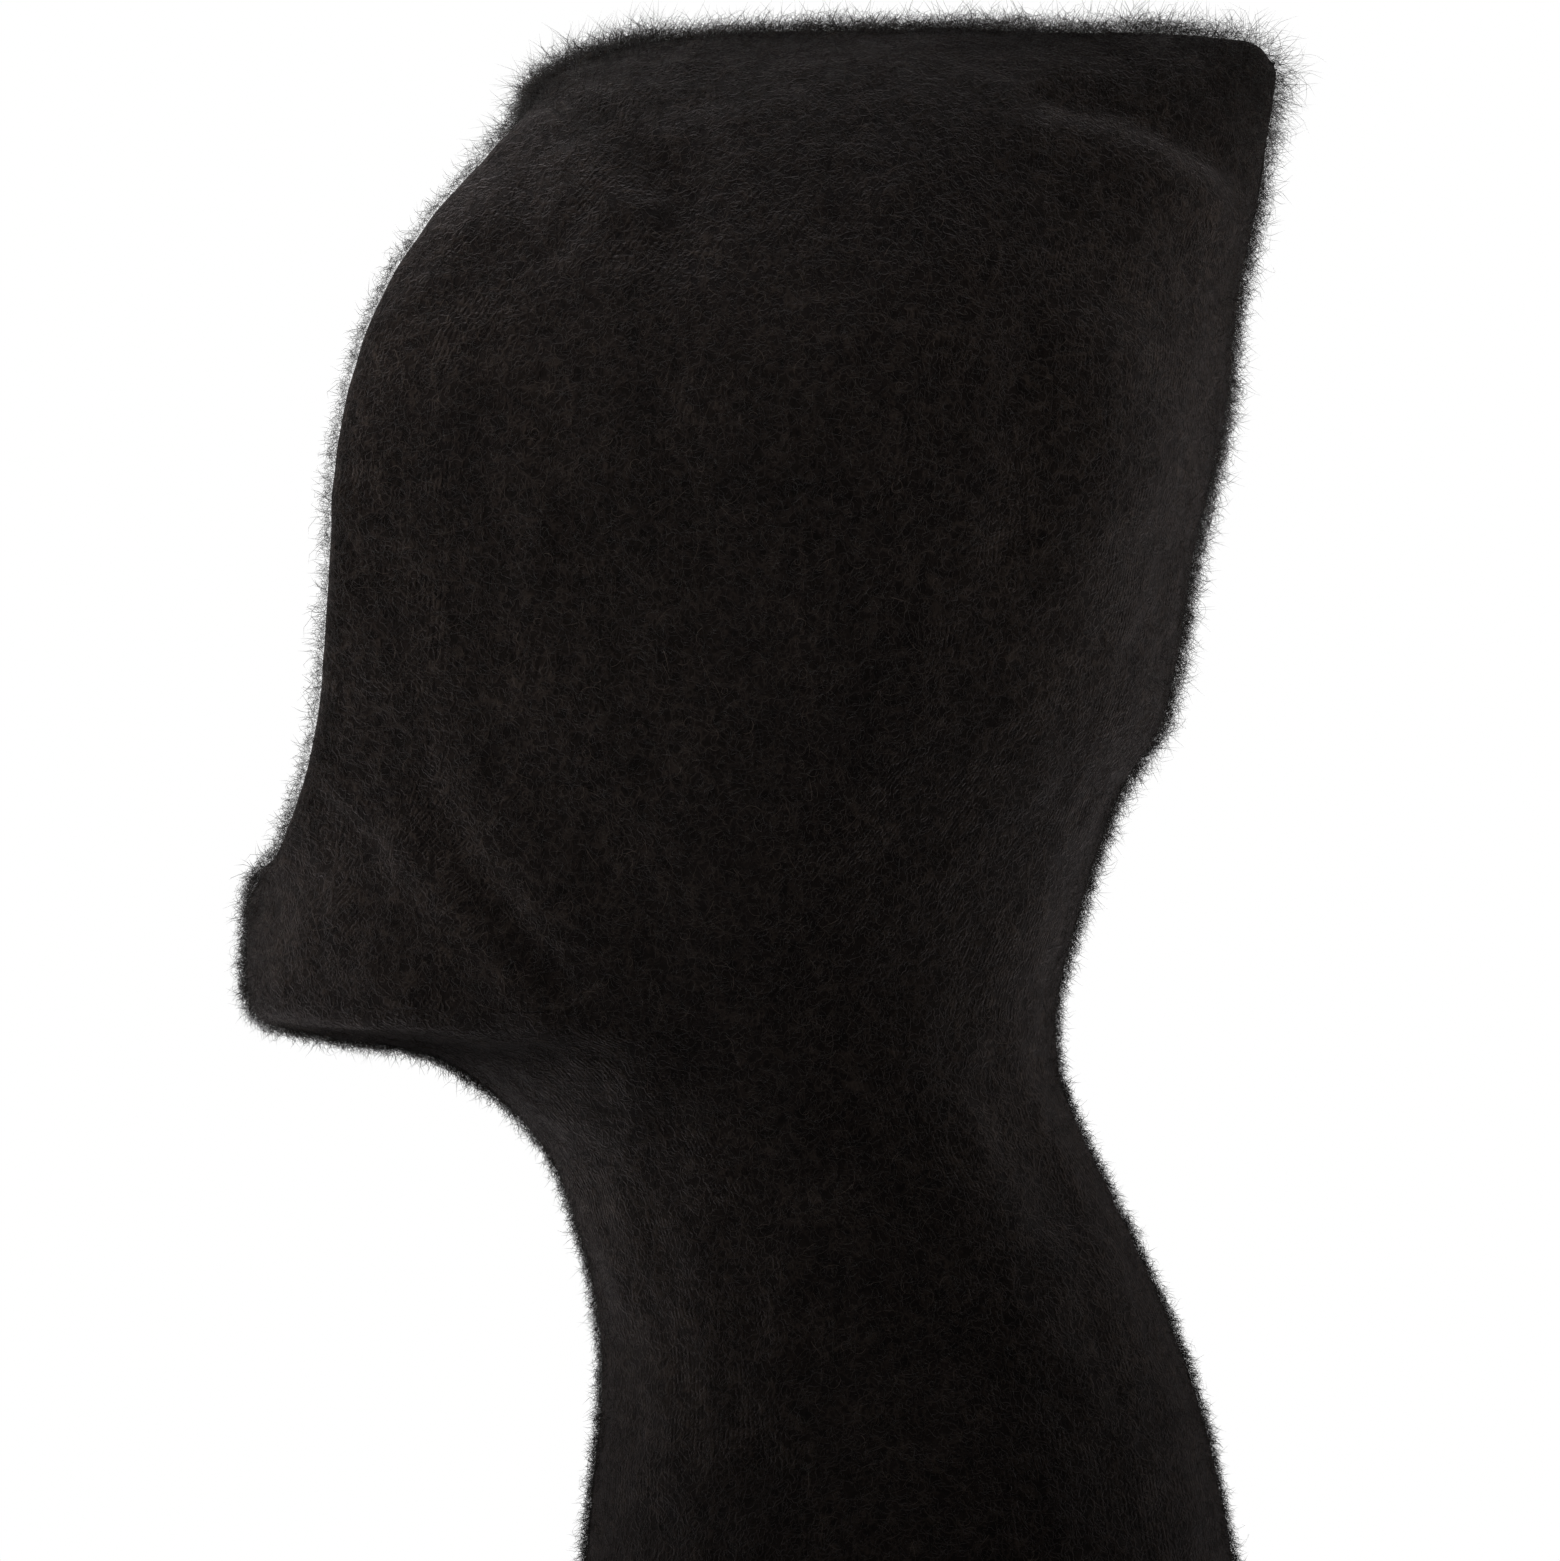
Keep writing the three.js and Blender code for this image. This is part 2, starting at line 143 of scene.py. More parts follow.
def set_up_studio():
    scene = bpy.context.scene
    scene.view_settings.view_transform = "Standard"
    set_up_camera(scene)
    set_up_room(scene)
    hang_lamps(scene)
    lay_floor()


# ---- Finishes ----
def plain_finish(name, colour, roughness, specular=0.3, sheen=0.0):
    material = bpy.data.materials.new(name)
    material.use_nodes = True
    shader = material.node_tree.nodes["Principled BSDF"]
    shader.inputs["Base Color"].default_value = (*colour, 1)
    shader.inputs["Roughness"].default_value = roughness
    shader.inputs["Specular IOR Level"].default_value = specular
    shader.inputs["Sheen Weight"].default_value = sheen
    shader.inputs["Sheen Roughness"].default_value = 0.5
    return material


class Nodes:
    """Short ways to add and join the nodes of one material."""

    def __init__(self, material):
        self.tree = material.node_tree
        self.shader = self.tree.nodes["Principled BSDF"]

    def add(self, kind, inputs=(), **settings):
        node = self.tree.nodes.new("ShaderNode" + kind)
        for key, value in settings.items():
            setattr(node, key, value)
        for key, value in dict(inputs).items():
            if isinstance(value, bpy.types.NodeSocket):
                self.tree.links.new(value, node.inputs[key])
            else:
                node.inputs[key].default_value = value
        return node

    def math(self, operation, a, b=0.0, c=0.0):
        return self.add("Math", {0: a, 1: b, 2: c}, operation=operation).outputs[0]

    def noise(self, vector, scale, detail=2.0, roughness=0.5):
        inputs = {"Vector": vector, "Scale": scale, "Detail": detail, "Roughness": roughness}
        return self.add("TexNoise", inputs).outputs["Fac"]

    def wave(self, vector, scale, direction, distortion, detail=2.0):
        inputs = {"Vector": vector, "Scale": scale, "Distortion": distortion, "Detail": detail}
        return self.add("TexWave", inputs, bands_direction=direction).outputs["Fac"]

    def spread(self, value, low, high, at_low=0.0, at_high=1.0):
        inputs = {"Value": value, "From Min": low, "From Max": high, "To Min": at_low, "To Max": at_high}
        return self.add("MapRange", inputs).outputs[0]

    def ramp(self, value, stops):
        made = self.add("ValToRGB", {"Fac": value})
        band = made.color_ramp.elements
        while len(band) < len(stops):
            band.new(0.5)
        for stop, (place, colour) in zip(band, stops):
            stop.position, stop.color = place, (*colour, 1)
        return made.outputs["Color"]

    def bump(self, height, strength, distance, under=None):
        inputs = {"Height": height, "Strength": strength, "Distance": distance}
        if under is not None:
            inputs["Normal"] = under
        return self.add("Bump", inputs).outputs["Normal"]

    def finish(self, colour, normal):
        self.tree.links.new(colour, self.shader.inputs["Base Color"])
        self.tree.links.new(normal, self.shader.inputs["Normal"])


# The knit's patterns: how many go to a metre, and how deep they stand in metres
COVER_SCALE, SHADE_SCALE, FELT_SCALE, FLUFF_SCALE = 55.0, 24.0, 300.0, 1500.0
STRAND_SCALES, STRAND_WIDTH = (150.0, 230.0, 360.0), 0.035
STITCH_DEPTH, FELT_DEPTH, FLUFF_DEPTH = 0.0006, 0.0006, 0.0003
WANDER_SCALE, WANDER = 0.45, 0.55  # of the stitches, in stitches
COURSE_SLANT = 0.55
KNIT_BLACKS = [
    (0.22, (0.0022, 0.0016, 0.0012)), (0.48, (0.0085, 0.0060, 0.0047)), (0.90, (0.0360, 0.0270, 0.0215)),
]


def knit_finish():
    """Stocking stitch under a brushed nap, with painted shade in the gaps between the stitches. The UV map
    counts stitches: U in wales across, V in courses up.
    """
    material = plain_finish("brushed_knit_black", (0.006, 0.0045, 0.0036), 1.0, 0.0, 0.2)
    n = Nodes(material)
    n.shader.inputs["Sheen Tint"].default_value = (1.0, 0.91, 0.92, 1)
    place = n.add("TexCoord").outputs["Object"]
    stitches = n.add("UVMap", uv_map="stitches").outputs["UV"]
    wander = n.add("TexNoise", {"Vector": stitches, "Scale": WANDER_SCALE, "Detail": 2.0}).outputs["Color"]
    wander = n.add("VectorMath", {0: wander, 1: (0.5, 0.5, 0.5)}, operation="SUBTRACT").outputs[0]
    wander = n.add("VectorMath", {0: wander, "Scale": WANDER}, operation="SCALE").outputs[0]
    stitches = n.add("VectorMath", {0: stitches, 1: wander}, operation="ADD").outputs[0]
    split = n.add("SeparateXYZ", {0: stitches})
    wale = n.math("FRACT", split.outputs[0])
    across = n.math("MULTIPLY", n.math("ABSOLUTE", n.math("SUBTRACT", wale, 0.5)), 2.0)
    leg = n.math("SINE", n.math("MULTIPLY", across, math.pi))
    slanted = n.math("SUBTRACT", split.outputs[1], n.math("MULTIPLY", across, COURSE_SLANT))
    loop = n.math("SINE", n.math("MULTIPLY", n.math("FRACT", slanted), math.pi))
    stitch = n.math("MULTIPLY", leg, n.math("MULTIPLY_ADD", loop, 0.6, 0.4))
    bare = n.spread(n.noise(place, COVER_SCALE, 3.0, 0.6), 0.36, 0.52, 0.7, 0.0)
    stitch = n.math("MULTIPLY", stitch, bare)
    fluff = n.noise(place, FLUFF_SCALE, 3.0, 0.65)
    felt = n.noise(place, FELT_SCALE, 4.0, 0.62)
    strands = [
        n.math("ABSOLUTE", n.math("SUBTRACT", n.noise(place, scale, 2.0, 0.5), 0.5))
        for scale in STRAND_SCALES
    ]
    nearest = n.math("MINIMUM", n.math("MINIMUM", *strands[:2]), strands[2])
    strand = n.spread(nearest, 0.0, STRAND_WIDTH, 1.0, 0.0)
    under = n.bump(stitch, 0.45, STITCH_DEPTH)
    under = n.bump(n.math("MULTIPLY_ADD", strand, 0.5, felt), 0.7, FELT_DEPTH, under)
    grain = n.spread(felt, 0.3, 0.7)
    # Painted shade: the tone is lighter on the raised legs of the stitches and darker in the gaps between
    # them, where the stitch bump sinks. The felt grain, the large noise and the strands add tone that differs
    # at random.
    tone = n.math("MULTIPLY_ADD", stitch, 0.16, n.math("MULTIPLY", grain, 0.34))
    tone = n.math("ADD", tone, n.math("MULTIPLY", n.noise(place, SHADE_SCALE, 5.0, 0.65), 0.36))
    tone = n.math("MULTIPLY_ADD", strand, 0.24, tone)
    n.finish(n.ramp(tone, KNIT_BLACKS), n.bump(fluff, 0.5, FLUFF_DEPTH, under))
    return material


def yarn_finish():
    """Spun black sewing yarn, with its twist."""
    material = plain_finish("sewing_yarn_black", (0.012, 0.011, 0.010), 0.7, 0.25, 0.1)
    n = Nodes(material)
    place = n.add("TexCoord").outputs["Object"]
    twist = n.wave(place, 900.0, "DIAGONAL", 2.0, 1.0)
    blacks = [(0.3, (0.007, 0.006, 0.0055)), (0.7, (0.018, 0.016, 0.015))]
    n.finish(n.ramp(n.noise(place, 700.0), blacks), n.bump(twist, 0.5, 0.0002))
    return material


def label_finish(name, low, high, threads, roughness):
    """A woven tape: fine ribs across it, over a weave, with painted shade in the hollows of the weave."""
    material = plain_finish(name, high, roughness, 0.4)
    n = Nodes(material)
    place = n.add("TexCoord").outputs["Object"]
    ribs, ends = n.wave(place, threads, "Z", 0.3), n.wave(place, threads * 1.4, "X", 0.3)
    weave = n.math("MULTIPLY", ribs, n.math("MULTIPLY_ADD", ends, 0.5, 0.5))
    # Painted shade: the colour is lighter on the ribs and threads and darker in the hollows of the weave,
    # where its bump sinks, with some random tone from the noise.
    tone = n.math("MULTIPLY_ADD", weave, 0.7, n.math("MULTIPLY", n.noise(place, 120.0), 0.3))
    n.finish(n.ramp(tone, [(0.1, low), (0.8, high)]), n.bump(weave, 0.5, 0.00015))
    return material


# ---- The head form ----
def outline(points):
    return [(y * DEPTH, z * HEIGHT) for y, z in points]


FRONT = outline([
    (-0.185, 0), (-0.174, 0.11), (-0.158, 0.225), (-0.183, 0.304), (-0.225, 0.359), (-0.32, 0.402),
    (-0.42, 0.414), (-0.478, 0.421), (-0.496, 0.434), (-0.5, 0.458), (-0.492, 0.505),
])
RIM = outline([
    (-0.492, 0.505), (-0.466, 0.528), (-0.436, 0.582), (-0.421, 0.665), (-0.413, 0.75), (-0.394, 0.807),
    (-0.359, 0.858), (-0.312, 0.903), (-0.262, 0.937), (-0.232, 0.957), (-0.225, 0.97),
])
BACK = outline([
    (0.477, 0), (0.45, 0.11), (0.404, 0.225), (0.334, 0.319), (0.291, 0.377), (0.282, 0.414),
    (0.291, 0.458), (0.339, 0.551), (0.385, 0.602), (0.413, 0.69), (0.441, 0.77), (0.458, 0.846),
    (0.477, 0.9), (0.49, 0.95), (0.5, 0.986),
])
CROWN = outline([
    (-0.225, 0.97), (-0.165, 0.984), (-0.096, 0.994), (0.08, 1), (0.3, 0.999), (0.46, 0.995), (0.5, 0.987),
])
LEDGE, FOREHEAD = RIM[0], RIM[-1]
OPENING_MIDDLE = (LEDGE[1] + FOREHEAD[1]) / 2
OPENING_HALF_HEIGHT = (FOREHEAD[1] - LEDGE[1]) / 2


def through(points):
    """A smooth curve through the points, as a function of the first number."""
    xs, ys = np.array(points, float).T
    before, after = np.maximum(np.arange(len(xs)) - 1, 0), np.minimum(np.arange(len(xs)) + 1, len(xs) - 1)
    slope = (ys[after] - ys[before]) / (xs[after] - xs[before])

    def curve(at):
        at = np.clip(at, xs[0], xs[-1])
        i = np.clip(np.searchsorted(xs, at, side="right") - 1, 0, len(xs) - 2)
        long = xs[i + 1] - xs[i]
        t = (at - xs[i]) / long
        return (
            (2 * t**3 - 3 * t**2 + 1) * ys[i] + (t**3 - 2 * t**2 + t) * long * slope[i]
            + (3 * t**2 - 2 * t**3) * ys[i + 1] + (t**3 - t**2) * long * slope[i + 1]
        )

    return curve


def traced(points, distance=0.0):
    """The outline as a fine line, moved by a distance along its normals."""
    p, out = np.array(points, float), []
    last = len(p) - 1
    for step in range(6 * last + 1):
        k = min(step // 6, last - 1)
        t = step / 6 - k
        a, b, c, d = p[max(k - 1, 0)], p[k], p[k + 1], p[min(k + 2, last)]
        v0, v1 = (c - a) / 2, (d - b) / 2
        here = (2 * b - 2 * c + v0 + v1) * t**3 + (3 * c - 3 * b - 2 * v0 - v1) * t**2 + v0 * t + b
        way = 3 * (2 * b - 2 * c + v0 + v1) * t**2 + 2 * (3 * c - 3 * b - 2 * v0 - v1) * t + v0
        way /= np.linalg.norm(way)
        moved = here + distance * np.array([way[1], -way[0]])
        if not out or moved[1] > out[-1][1] + 0.01:
            out.append(moved)
    return np.array(out)


def by_height(line):
    return through(line[:, ::-1])


front_at = by_height(traced(FRONT + RIM[1:]))
back_at = by_height(traced(BACK))
crown_height = through(CROWN)
half_width_below = through([
    (0, HEM_HALF_WIDTH), (0.12 * HEIGHT, 0.5 * (HEM_HALF_WIDTH + NECK_HALF_WIDTH) + 1),
    (0.24 * HEIGHT, NECK_HALF_WIDTH + 4), (0.36 * HEIGHT, NECK_HALF_WIDTH),
    (0.44 * HEIGHT, 0.5 * (NECK_HALF_WIDTH + JAW_HALF_WIDTH)), (LEDGE[1], JAW_HALF_WIDTH),
    (OPENING_MIDDLE, HEAD_HALF_WIDTH),
])
widest_at = through([
    (0, 0.15 * DEPTH), (0.225 * HEIGHT, 0.12 * DEPTH), (0.37 * HEIGHT, 0.03 * DEPTH),
    (0.44 * HEIGHT, -0.04 * DEPTH), (0.6 * HEIGHT, 0), (0.97 * HEIGHT, 0.06 * DEPTH),
])


def lift(y):
    return crown_height(y) - FOREHEAD[1]


def rounds(level):
    """The round at each level: half width, middle, reach forward and back, rise, point, share at the rim."""
    level = np.asarray(level, float)
    up = np.clip((level - OPENING_MIDDLE) / OPENING_HALF_HEIGHT, 0, 1)
    down = np.clip((OPENING_MIDDLE - level) / OPENING_HALF_HEIGHT, 0, 1)
    above = level > OPENING_MIDDLE
    half = np.where(above, HEAD_HALF_WIDTH * np.sqrt(1 - up**2), half_width_below(level))
    share = np.where(
        above, OPENING_HALF_WIDTH / HEAD_HALF_WIDTH,
        np.minimum(OPENING_HALF_WIDTH * np.sqrt(1 - down**2) / np.maximum(half, 1e-6), 0.95),
    )
    middle = widest_at(level)
    forward = (middle - front_at(level)) / np.sqrt(1 - share**2)
    backward = back_at(level + up**2 * lift(DEPTH / 2)) - middle
    return half, middle, forward, backward, up**2, 1 + 0.5 * up**2, share


def form(level, angle):
    """The point of the form at a level and an angle: 0 at the front, half a turn at the back."""
    half, middle, forward, backward, rise, point, _ = rounds(level)
    along, across = np.cos(angle), np.clip(np.abs(np.sin(angle)), 0, 1)
    y = middle - along * np.where(along < 0, backward, forward)
    x = half * across ** np.where(along < 0, point, 1.0)
    return np.stack([x, y, level + rise * lift(y)], axis=-1)


def behind_rim(distance):
    """The line at a distance behind the rim, as a function from height to depth."""
    rim = traced(RIM, distance)
    start = math.atan2(rim[0][1] - LEDGE[1], rim[0][0] - LEDGE[0])
    turn = np.linspace(-math.pi / 2, start, 40)[:-1]
    corner = np.stack([LEDGE[0] + distance * np.cos(turn), LEDGE[1] + distance * np.sin(turn)], axis=1)
    line = np.concatenate([corner, rim])
    return lambda z: np.interp(z, line[:, 1], line[:, 0])


def angle_behind_rim(level, distance):
    """The angle on each round at which the form passes that line."""
    _, middle, forward, _, rise, _, _ = rounds(level)
    border, y = behind_rim(distance), np.full(np.shape(level), FOREHEAD[0])
    for _ in range(30):
        y = 0.5 * y + 0.5 * border(level + rise * lift(y))
    angle = np.arccos(np.clip((middle - y) / forward, -1, 1))
    return np.where(np.asarray(level) <= LEDGE[1] - distance, 0.0, angle)


# ---- Folds, creases and hollows of the cloth, as seen from the side: line, depth or height, width ----
FOLDS = [
    (((-51, 412), (-34, 401), (-19, 387)), -1.6, 4.0),
    (((-58, 404), (-44, 392), (-30, 380)), 1.2, 5.0),
    (((-26, 390), (-22, 374)), -2.2, 9.0),
    (((69, 412), (91, 408), (119, 394)), -1.9, 4.5),
    (((66, 402), (90, 397), (116, 383)), 1.5, 6.5),
    (((84, 345), (86, 320), (80, 292)), 2.2, 12.0),
    (((62, 352), (64, 330), (60, 300)), -1.4, 6.5),
    (((-58, 318), (-55, 288)), 1.0, 5.0),
    (((-89, 226), (-74, 208), (-57, 186)), 1.6, 5.0),
    (((-83, 238), (-67, 214), (-49, 190)), -1.6, 4.5),
    (((56, 167), (66, 148), (72, 136)), -1.5, 7.0),
    (((74, 157), (90, 120), (109, 62)), 1.6, 7.0),
    (((11, 178), (8, 150)), 1.1, 4.5),
    (((5, 132), (4, 100)), 1.0, 4.0),
    (((-22, 168), (-26, 130), (-20, 90)), -1.0, 7.0),
    (((34, 140), (38, 100), (44, 60)), -1.0, 8.0),
    (((20, 250), (40, 230), (62, 222)), -1.1, 9.0),
    (((-60, 250), (-40, 228), (-24, 200)), -1.0, 8.0),
    (((-10, 345), (30, 338)), 0.9, 14.0),
]


def nearness(y, z, line, width):
    """1 on the line and falling off to both sides and past its ends."""
    best = np.full(np.shape(y), np.inf)
    for (y0, z0), (y1, z1) in zip(line, line[1:]):
        long = (y1 - y0) ** 2 + (z1 - z0) ** 2
        t = np.clip(((y - y0) * (y1 - y0) + (z - z0) * (z1 - z0)) / long, 0, 1)
        best = np.minimum(best, (y - y0 - t * (y1 - y0)) ** 2 + (z - z0 - t * (z1 - z0)) ** 2)
    return np.exp(-best / width**2)


def lumps(points, scale, seed):
    flat = points.reshape(-1, 3) / scale + seed
    return np.array([noise.noise(Vector(p)) for p in flat]).reshape(points.shape[:-1])


def cloth_depth(points, side, seam_groove=0.6):
    """How far the cloth stands off the plain form: folds, a soft unevenness, and the seam's groove."""
    x, y, z = points[..., 0], points[..., 1], points[..., 2]
    shift = 0.0 if side > 0 else 4.0
    stands = sum(height * nearness(y + shift, z - shift, line, width) for line, height, width in FOLDS)
    stands = stands + 1.1 * lumps(points, 26.0, 3.7 * side) + 0.7 * lumps(points, 9.0, 11.3 * side)
    fade = 1 - np.exp(-((x / 7.0) ** 2))
    return stands * (0.35 + 0.65 * fade) - seam_groove * np.exp(-((x / 1.5) ** 2)) - 0.4


def unit(v):
    return v / np.maximum(np.linalg.norm(v, axis=-1, keepdims=True), 1e-9)


def form_normal(level, angle):
    """The form's outward normal. On the seams it lies in the plane between the sides."""
    on_seam = form(level, angle)[..., 0] < 0.05
    level = np.clip(level, 0.03, FOREHEAD[1] - 0.05)
    angle = np.clip(angle, 0.03, math.pi - 0.03)
    up = form(level + 0.02, angle) - form(level - 0.02, angle)
    along = form(level, angle + 0.01) - form(level, angle - 0.01)
    normal = unit(np.cross(along, up))
    normal[on_seam, 0] = 0
    return unit(normal)


def on_form(level, angle):
    """The points of the form and its outward normals."""
    level, angle = np.broadcast_arrays(level, angle)
    return form(level, angle), form_normal(level, angle)


def even_stations(line, count):
    """The shares of a line, 0 to 1, at which its points lie evenly along it, and its length."""
    long = np.concatenate([[0], np.cumsum(np.linalg.norm(np.diff(line, axis=0), axis=1))])
    return np.interp(np.linspace(0, long[-1], count), long, np.linspace(0, 1, len(line))), long[-1]


def levels_behind_rim(reach, lower, upper, climb=OPENING_HALF_HEIGHT):
    """Levels from the chin to the forehead, at a distance behind the rim and closer together at both ends."""
    low = LEDGE[1] - reach
    return np.concatenate([
        low + (OPENING_MIDDLE - low) * (1 - np.cos(lower * math.pi / 2)),
        OPENING_MIDDLE + climb * np.sin(upper * math.pi / 2),
    ])


def round_the_neck(count):
    """Turns once round the neck from the front, with the form's angle and the side (1 or -1) at each."""
    turn = np.linspace(0, 2 * math.pi, count, endpoint=False)
    return turn, np.where(turn <= math.pi, turn, 2 * math.pi - turn), np.where(turn <= math.pi, 1.0, -1.0)


def box_of(name):
    """The low and high corners that the frame gives a piece."""
    return [np.array(corner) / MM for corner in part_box(name)]


# ---- Making meshes ----
SHARP_FROM = math.radians(50)


def finished(name, points, faces, material, body=HOOD, slot="brushed_knit", uv=None, crisp=True):
    """A piece from its points, in millimetres, and its faces: one array for each number of corners."""
    faces = [np.asarray(some, dtype=np.int32) for some in (faces if isinstance(faces, list) else [faces])]
    corners = np.concatenate([some.ravel() for some in faces])
    counts = np.concatenate([np.full(len(some), some.shape[1]) for some in faces])
    mesh = bpy.data.meshes.new(name)
    mesh.vertices.add(len(points))
    mesh.vertices.foreach_set("co", (np.asarray(points, float) * MM).astype(np.float32).ravel())
    mesh.loops.add(len(corners))
    mesh.loops.foreach_set("vertex_index", corners)
    mesh.polygons.add(len(counts))
    mesh.polygons.foreach_set("loop_start", np.concatenate([[0], np.cumsum(counts)[:-1]]).astype(np.int32))
    mesh.polygons.foreach_set("use_smooth", np.full(len(counts), True))
    if uv is not None:
        layer = mesh.uv_layers.new(name="stitches")
        layer.data.foreach_set("uv", np.asarray(uv, float)[corners].astype(np.float32).ravel())
    mesh.update(calc_edges=True)
    mesh.validate()
    if crisp:
        mesh.set_sharp_from_angle(angle=SHARP_FROM)
    mesh.materials.append(material)
    piece = bpy.data.objects.new(name, mesh)
    bpy.context.scene.collection.objects.link(piece)
    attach(piece, body)
    return piece


def quads(rows, columns, first=0, closed_rows=False, closed_columns=False):
    """The faces of a grid of points."""
    i = np.arange(rows if closed_rows else rows - 1)[:, None]
    j = np.arange(columns if closed_columns else columns - 1)[None, :]
    i2, j2 = (i + 1) % rows, (j + 1) % columns
    corners = i * columns + j, i * columns + j2, i2 * columns + j2, i2 * columns + j
    return np.stack(np.broadcast_arrays(*corners), axis=-1).reshape(-1, 4) + first


def panel_shell(outer, inner):
    """Points and faces of a closed sheet between two grids."""
    rows, columns = outer.shape[:2]
    points = np.concatenate([outer.reshape(-1, 3), inner.reshape(-1, 3)])
    count = rows * columns
    index = np.arange(count).reshape(rows, columns)
    edge = np.concatenate([index[0, :-1], index[:-1, -1], index[-1, :0:-1], index[:0:-1, 0]])
    after = np.roll(edge, -1)
    rim = np.stack([edge, edge + count, after + count, after], axis=1)
    return points, np.concatenate([quads(rows, columns), quads(rows, columns, count)[:, ::-1], rim])


# ---- The side panels ----
WALES, COURSE = 84, 3.4  # wales from the front to the back of one side, and the height of a course
SLIT = 0.03  # between a panel and a band
MIDDLE_GAP = 0.015  # from a panel's edge to the middle of the hood
NECK_ROWS, CHEEK_ROWS, DOME_ROWS, PANEL_COLUMNS = 92, 82, 68, 118
BORDER_GROOVE = 0.10
TIP_SINK, TIP_WIDTH = 3.4, 4.4  # how much the point of the crown is rounded off


def panel_rows():
    """Level and angle at which each row starts, and the level at which it ends on the back seam."""
    reach = BAND_WIDTH + SLIT
    low, corner = HEM_DEPTH + SLIT, LEDGE[1] - reach
    fine = np.linspace(0, 1, 900)
    neck = low + (corner - low) * fine
    neck = np.interp(even_stations(form(neck, 0 * neck), NECK_ROWS)[0], fine, neck)
    cheek = corner + (OPENING_MIDDLE - corner) * (1 - np.cos(fine * math.pi / 2))
    cheek = np.interp(even_stations(form(cheek, angle_behind_rim(cheek, reach)), CHEEK_ROWS)[0], fine, cheek)
    climb = 1 - (1 - np.linspace(0, 1, DOME_ROWS)) ** 1.25
    dome = OPENING_MIDDLE + OPENING_HALF_HEIGHT * np.sin(math.pi / 2 * climb)
    starts = np.concatenate([neck[:-1], cheek[:-1], dome])
    back = low + (OPENING_MIDDLE - low) * fine
    back = np.interp(even_stations(form(back, 0 * back + math.pi), len(neck) + len(cheek) - 1)[0], fine, back)
    return starts, angle_behind_rim(starts, reach), np.concatenate([back[:-1], dome])


def distance_to(line, points):
    tree = kdtree.KDTree(len(line))
    for number, point in enumerate(line):
        tree.insert(point, number)
    tree.balance()
    return np.array([tree.find(point)[2] for point in points.reshape(-1, 3)]).reshape(points.shape[:-1])


def stitch_count(level, angle):
    """Wales and courses at a point: the wales follow the rim in front and the back seam behind."""
    ease = np.clip((level - 150) / 110, 0, 1)
    from_front = angle_behind_rim(np.maximum(level, 255.0), BAND_WIDTH) * (ease * ease * (3 - 2 * ease))
    fine = np.linspace(0, FOREHEAD[1], 400)
    climb = np.linalg.norm(np.diff(form(fine, 0 * fine + 1.75), axis=0), axis=1)
    course = np.interp(level, fine, np.concatenate([[0], np.cumsum(climb)]) / COURSE)
    return np.stack([(angle - from_front) / (math.pi - from_front) * WALES, course], axis=-1)


def panel_grid(side):
    """The panel's outer and inner points, its outward normals and its stitch counts."""
    starts, start_angle, ends = panel_rows()
    share = np.linspace(0, 1, PANEL_COLUMNS)[None, :]
    level = starts[:, None] + (ends - starts)[:, None] * share
    eased = share - 0.075 * np.sin(2 * math.pi * share)
    angle = start_angle[:, None] + (math.pi - start_angle[:, None]) * eased
    plain, normal = on_form(level, angle)
    border = np.linspace(LEDGE[1] - BAND_WIDTH, FOREHEAD[1], 700)
    from_band = distance_to(form(border, angle_behind_rim(border, BAND_WIDTH)), plain)
    stands = cloth_depth(plain, side) - BORDER_GROOVE * np.exp(-((from_band / 1.6) ** 2))
    stands -= 0.2 * np.exp(-(((level - HEM_DEPTH) / 1.8) ** 2))
    outer = plain + normal * stands[..., None]
    inner = plain - normal * (FABRIC - 0.1)
    tip = np.array([0, DEPTH / 2, crown_height(DEPTH / 2)])
    from_tip = ((outer - tip) ** 2).sum(axis=-1, keepdims=True)
    blunt = unit(np.array([0, -0.75, -1.0])) * TIP_SINK * np.exp(-(from_tip / TIP_WIDTH**2))
    outer, inner = outer + blunt, inner + blunt
    for layer in (outer, inner):
        layer[..., 0] = np.maximum(layer[..., 0], MIDDLE_GAP)
    return outer, inner, normal, stitch_count(level, angle)


def mirrored(points):
    return points * np.array([-1.0, 1.0, 1.0])


def side_panel(name, side, material):
    outer, inner, normal, stitches = panel_grid(side)
    points, faces = panel_shell(outer, inner)
    if side < 0:
        points, faces = mirrored(points), faces[:, ::-1]
    uv = np.concatenate([stitches.reshape(-1, 2)] * 2)
    piece = finished(name, points, faces, material, uv=uv)
    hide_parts(name.replace("knit_", ""))
    if side < 0:
        outer, normal = mirrored(outer), mirrored(normal)
    return piece, outer, normal


# ---- The folded bands ----
FOLD_TURNS = 7  # points round the fold
BAND_STEPS, BAND_COLUMNS = 13, 31
FACE_BAND_STATIONS, HEM_STATIONS = 190, 240
WALE_WIDTH = 2.3
ROLL = 3.2  # how far the rim of the face band rolls in


def fold_section(width, thickness, ply, steps):
    """A band folded once, in section: shares of the width from the seam to the fold, and depths."""
    r, hollow = thickness / 2, thickness / 2 - ply
    flat, turn = np.linspace(0, 1 - r / width, steps), np.linspace(0, math.pi, FOLD_TURNS + 2)[1:-1]
    fold = (1 - r / width) + np.sin(turn) * r / width
    inside = (1 - r / width) + np.sin(turn) * hollow / width
    share = np.concatenate([flat, fold, flat[::-1], flat, inside, flat[::-1]])
    depth = np.concatenate([
        np.zeros(steps), r - r * np.cos(turn), np.full(steps, 2 * r),
        np.full(steps, r + hollow), r + hollow * np.cos(turn), np.full(steps, r - hollow),
    ])
    return share, depth


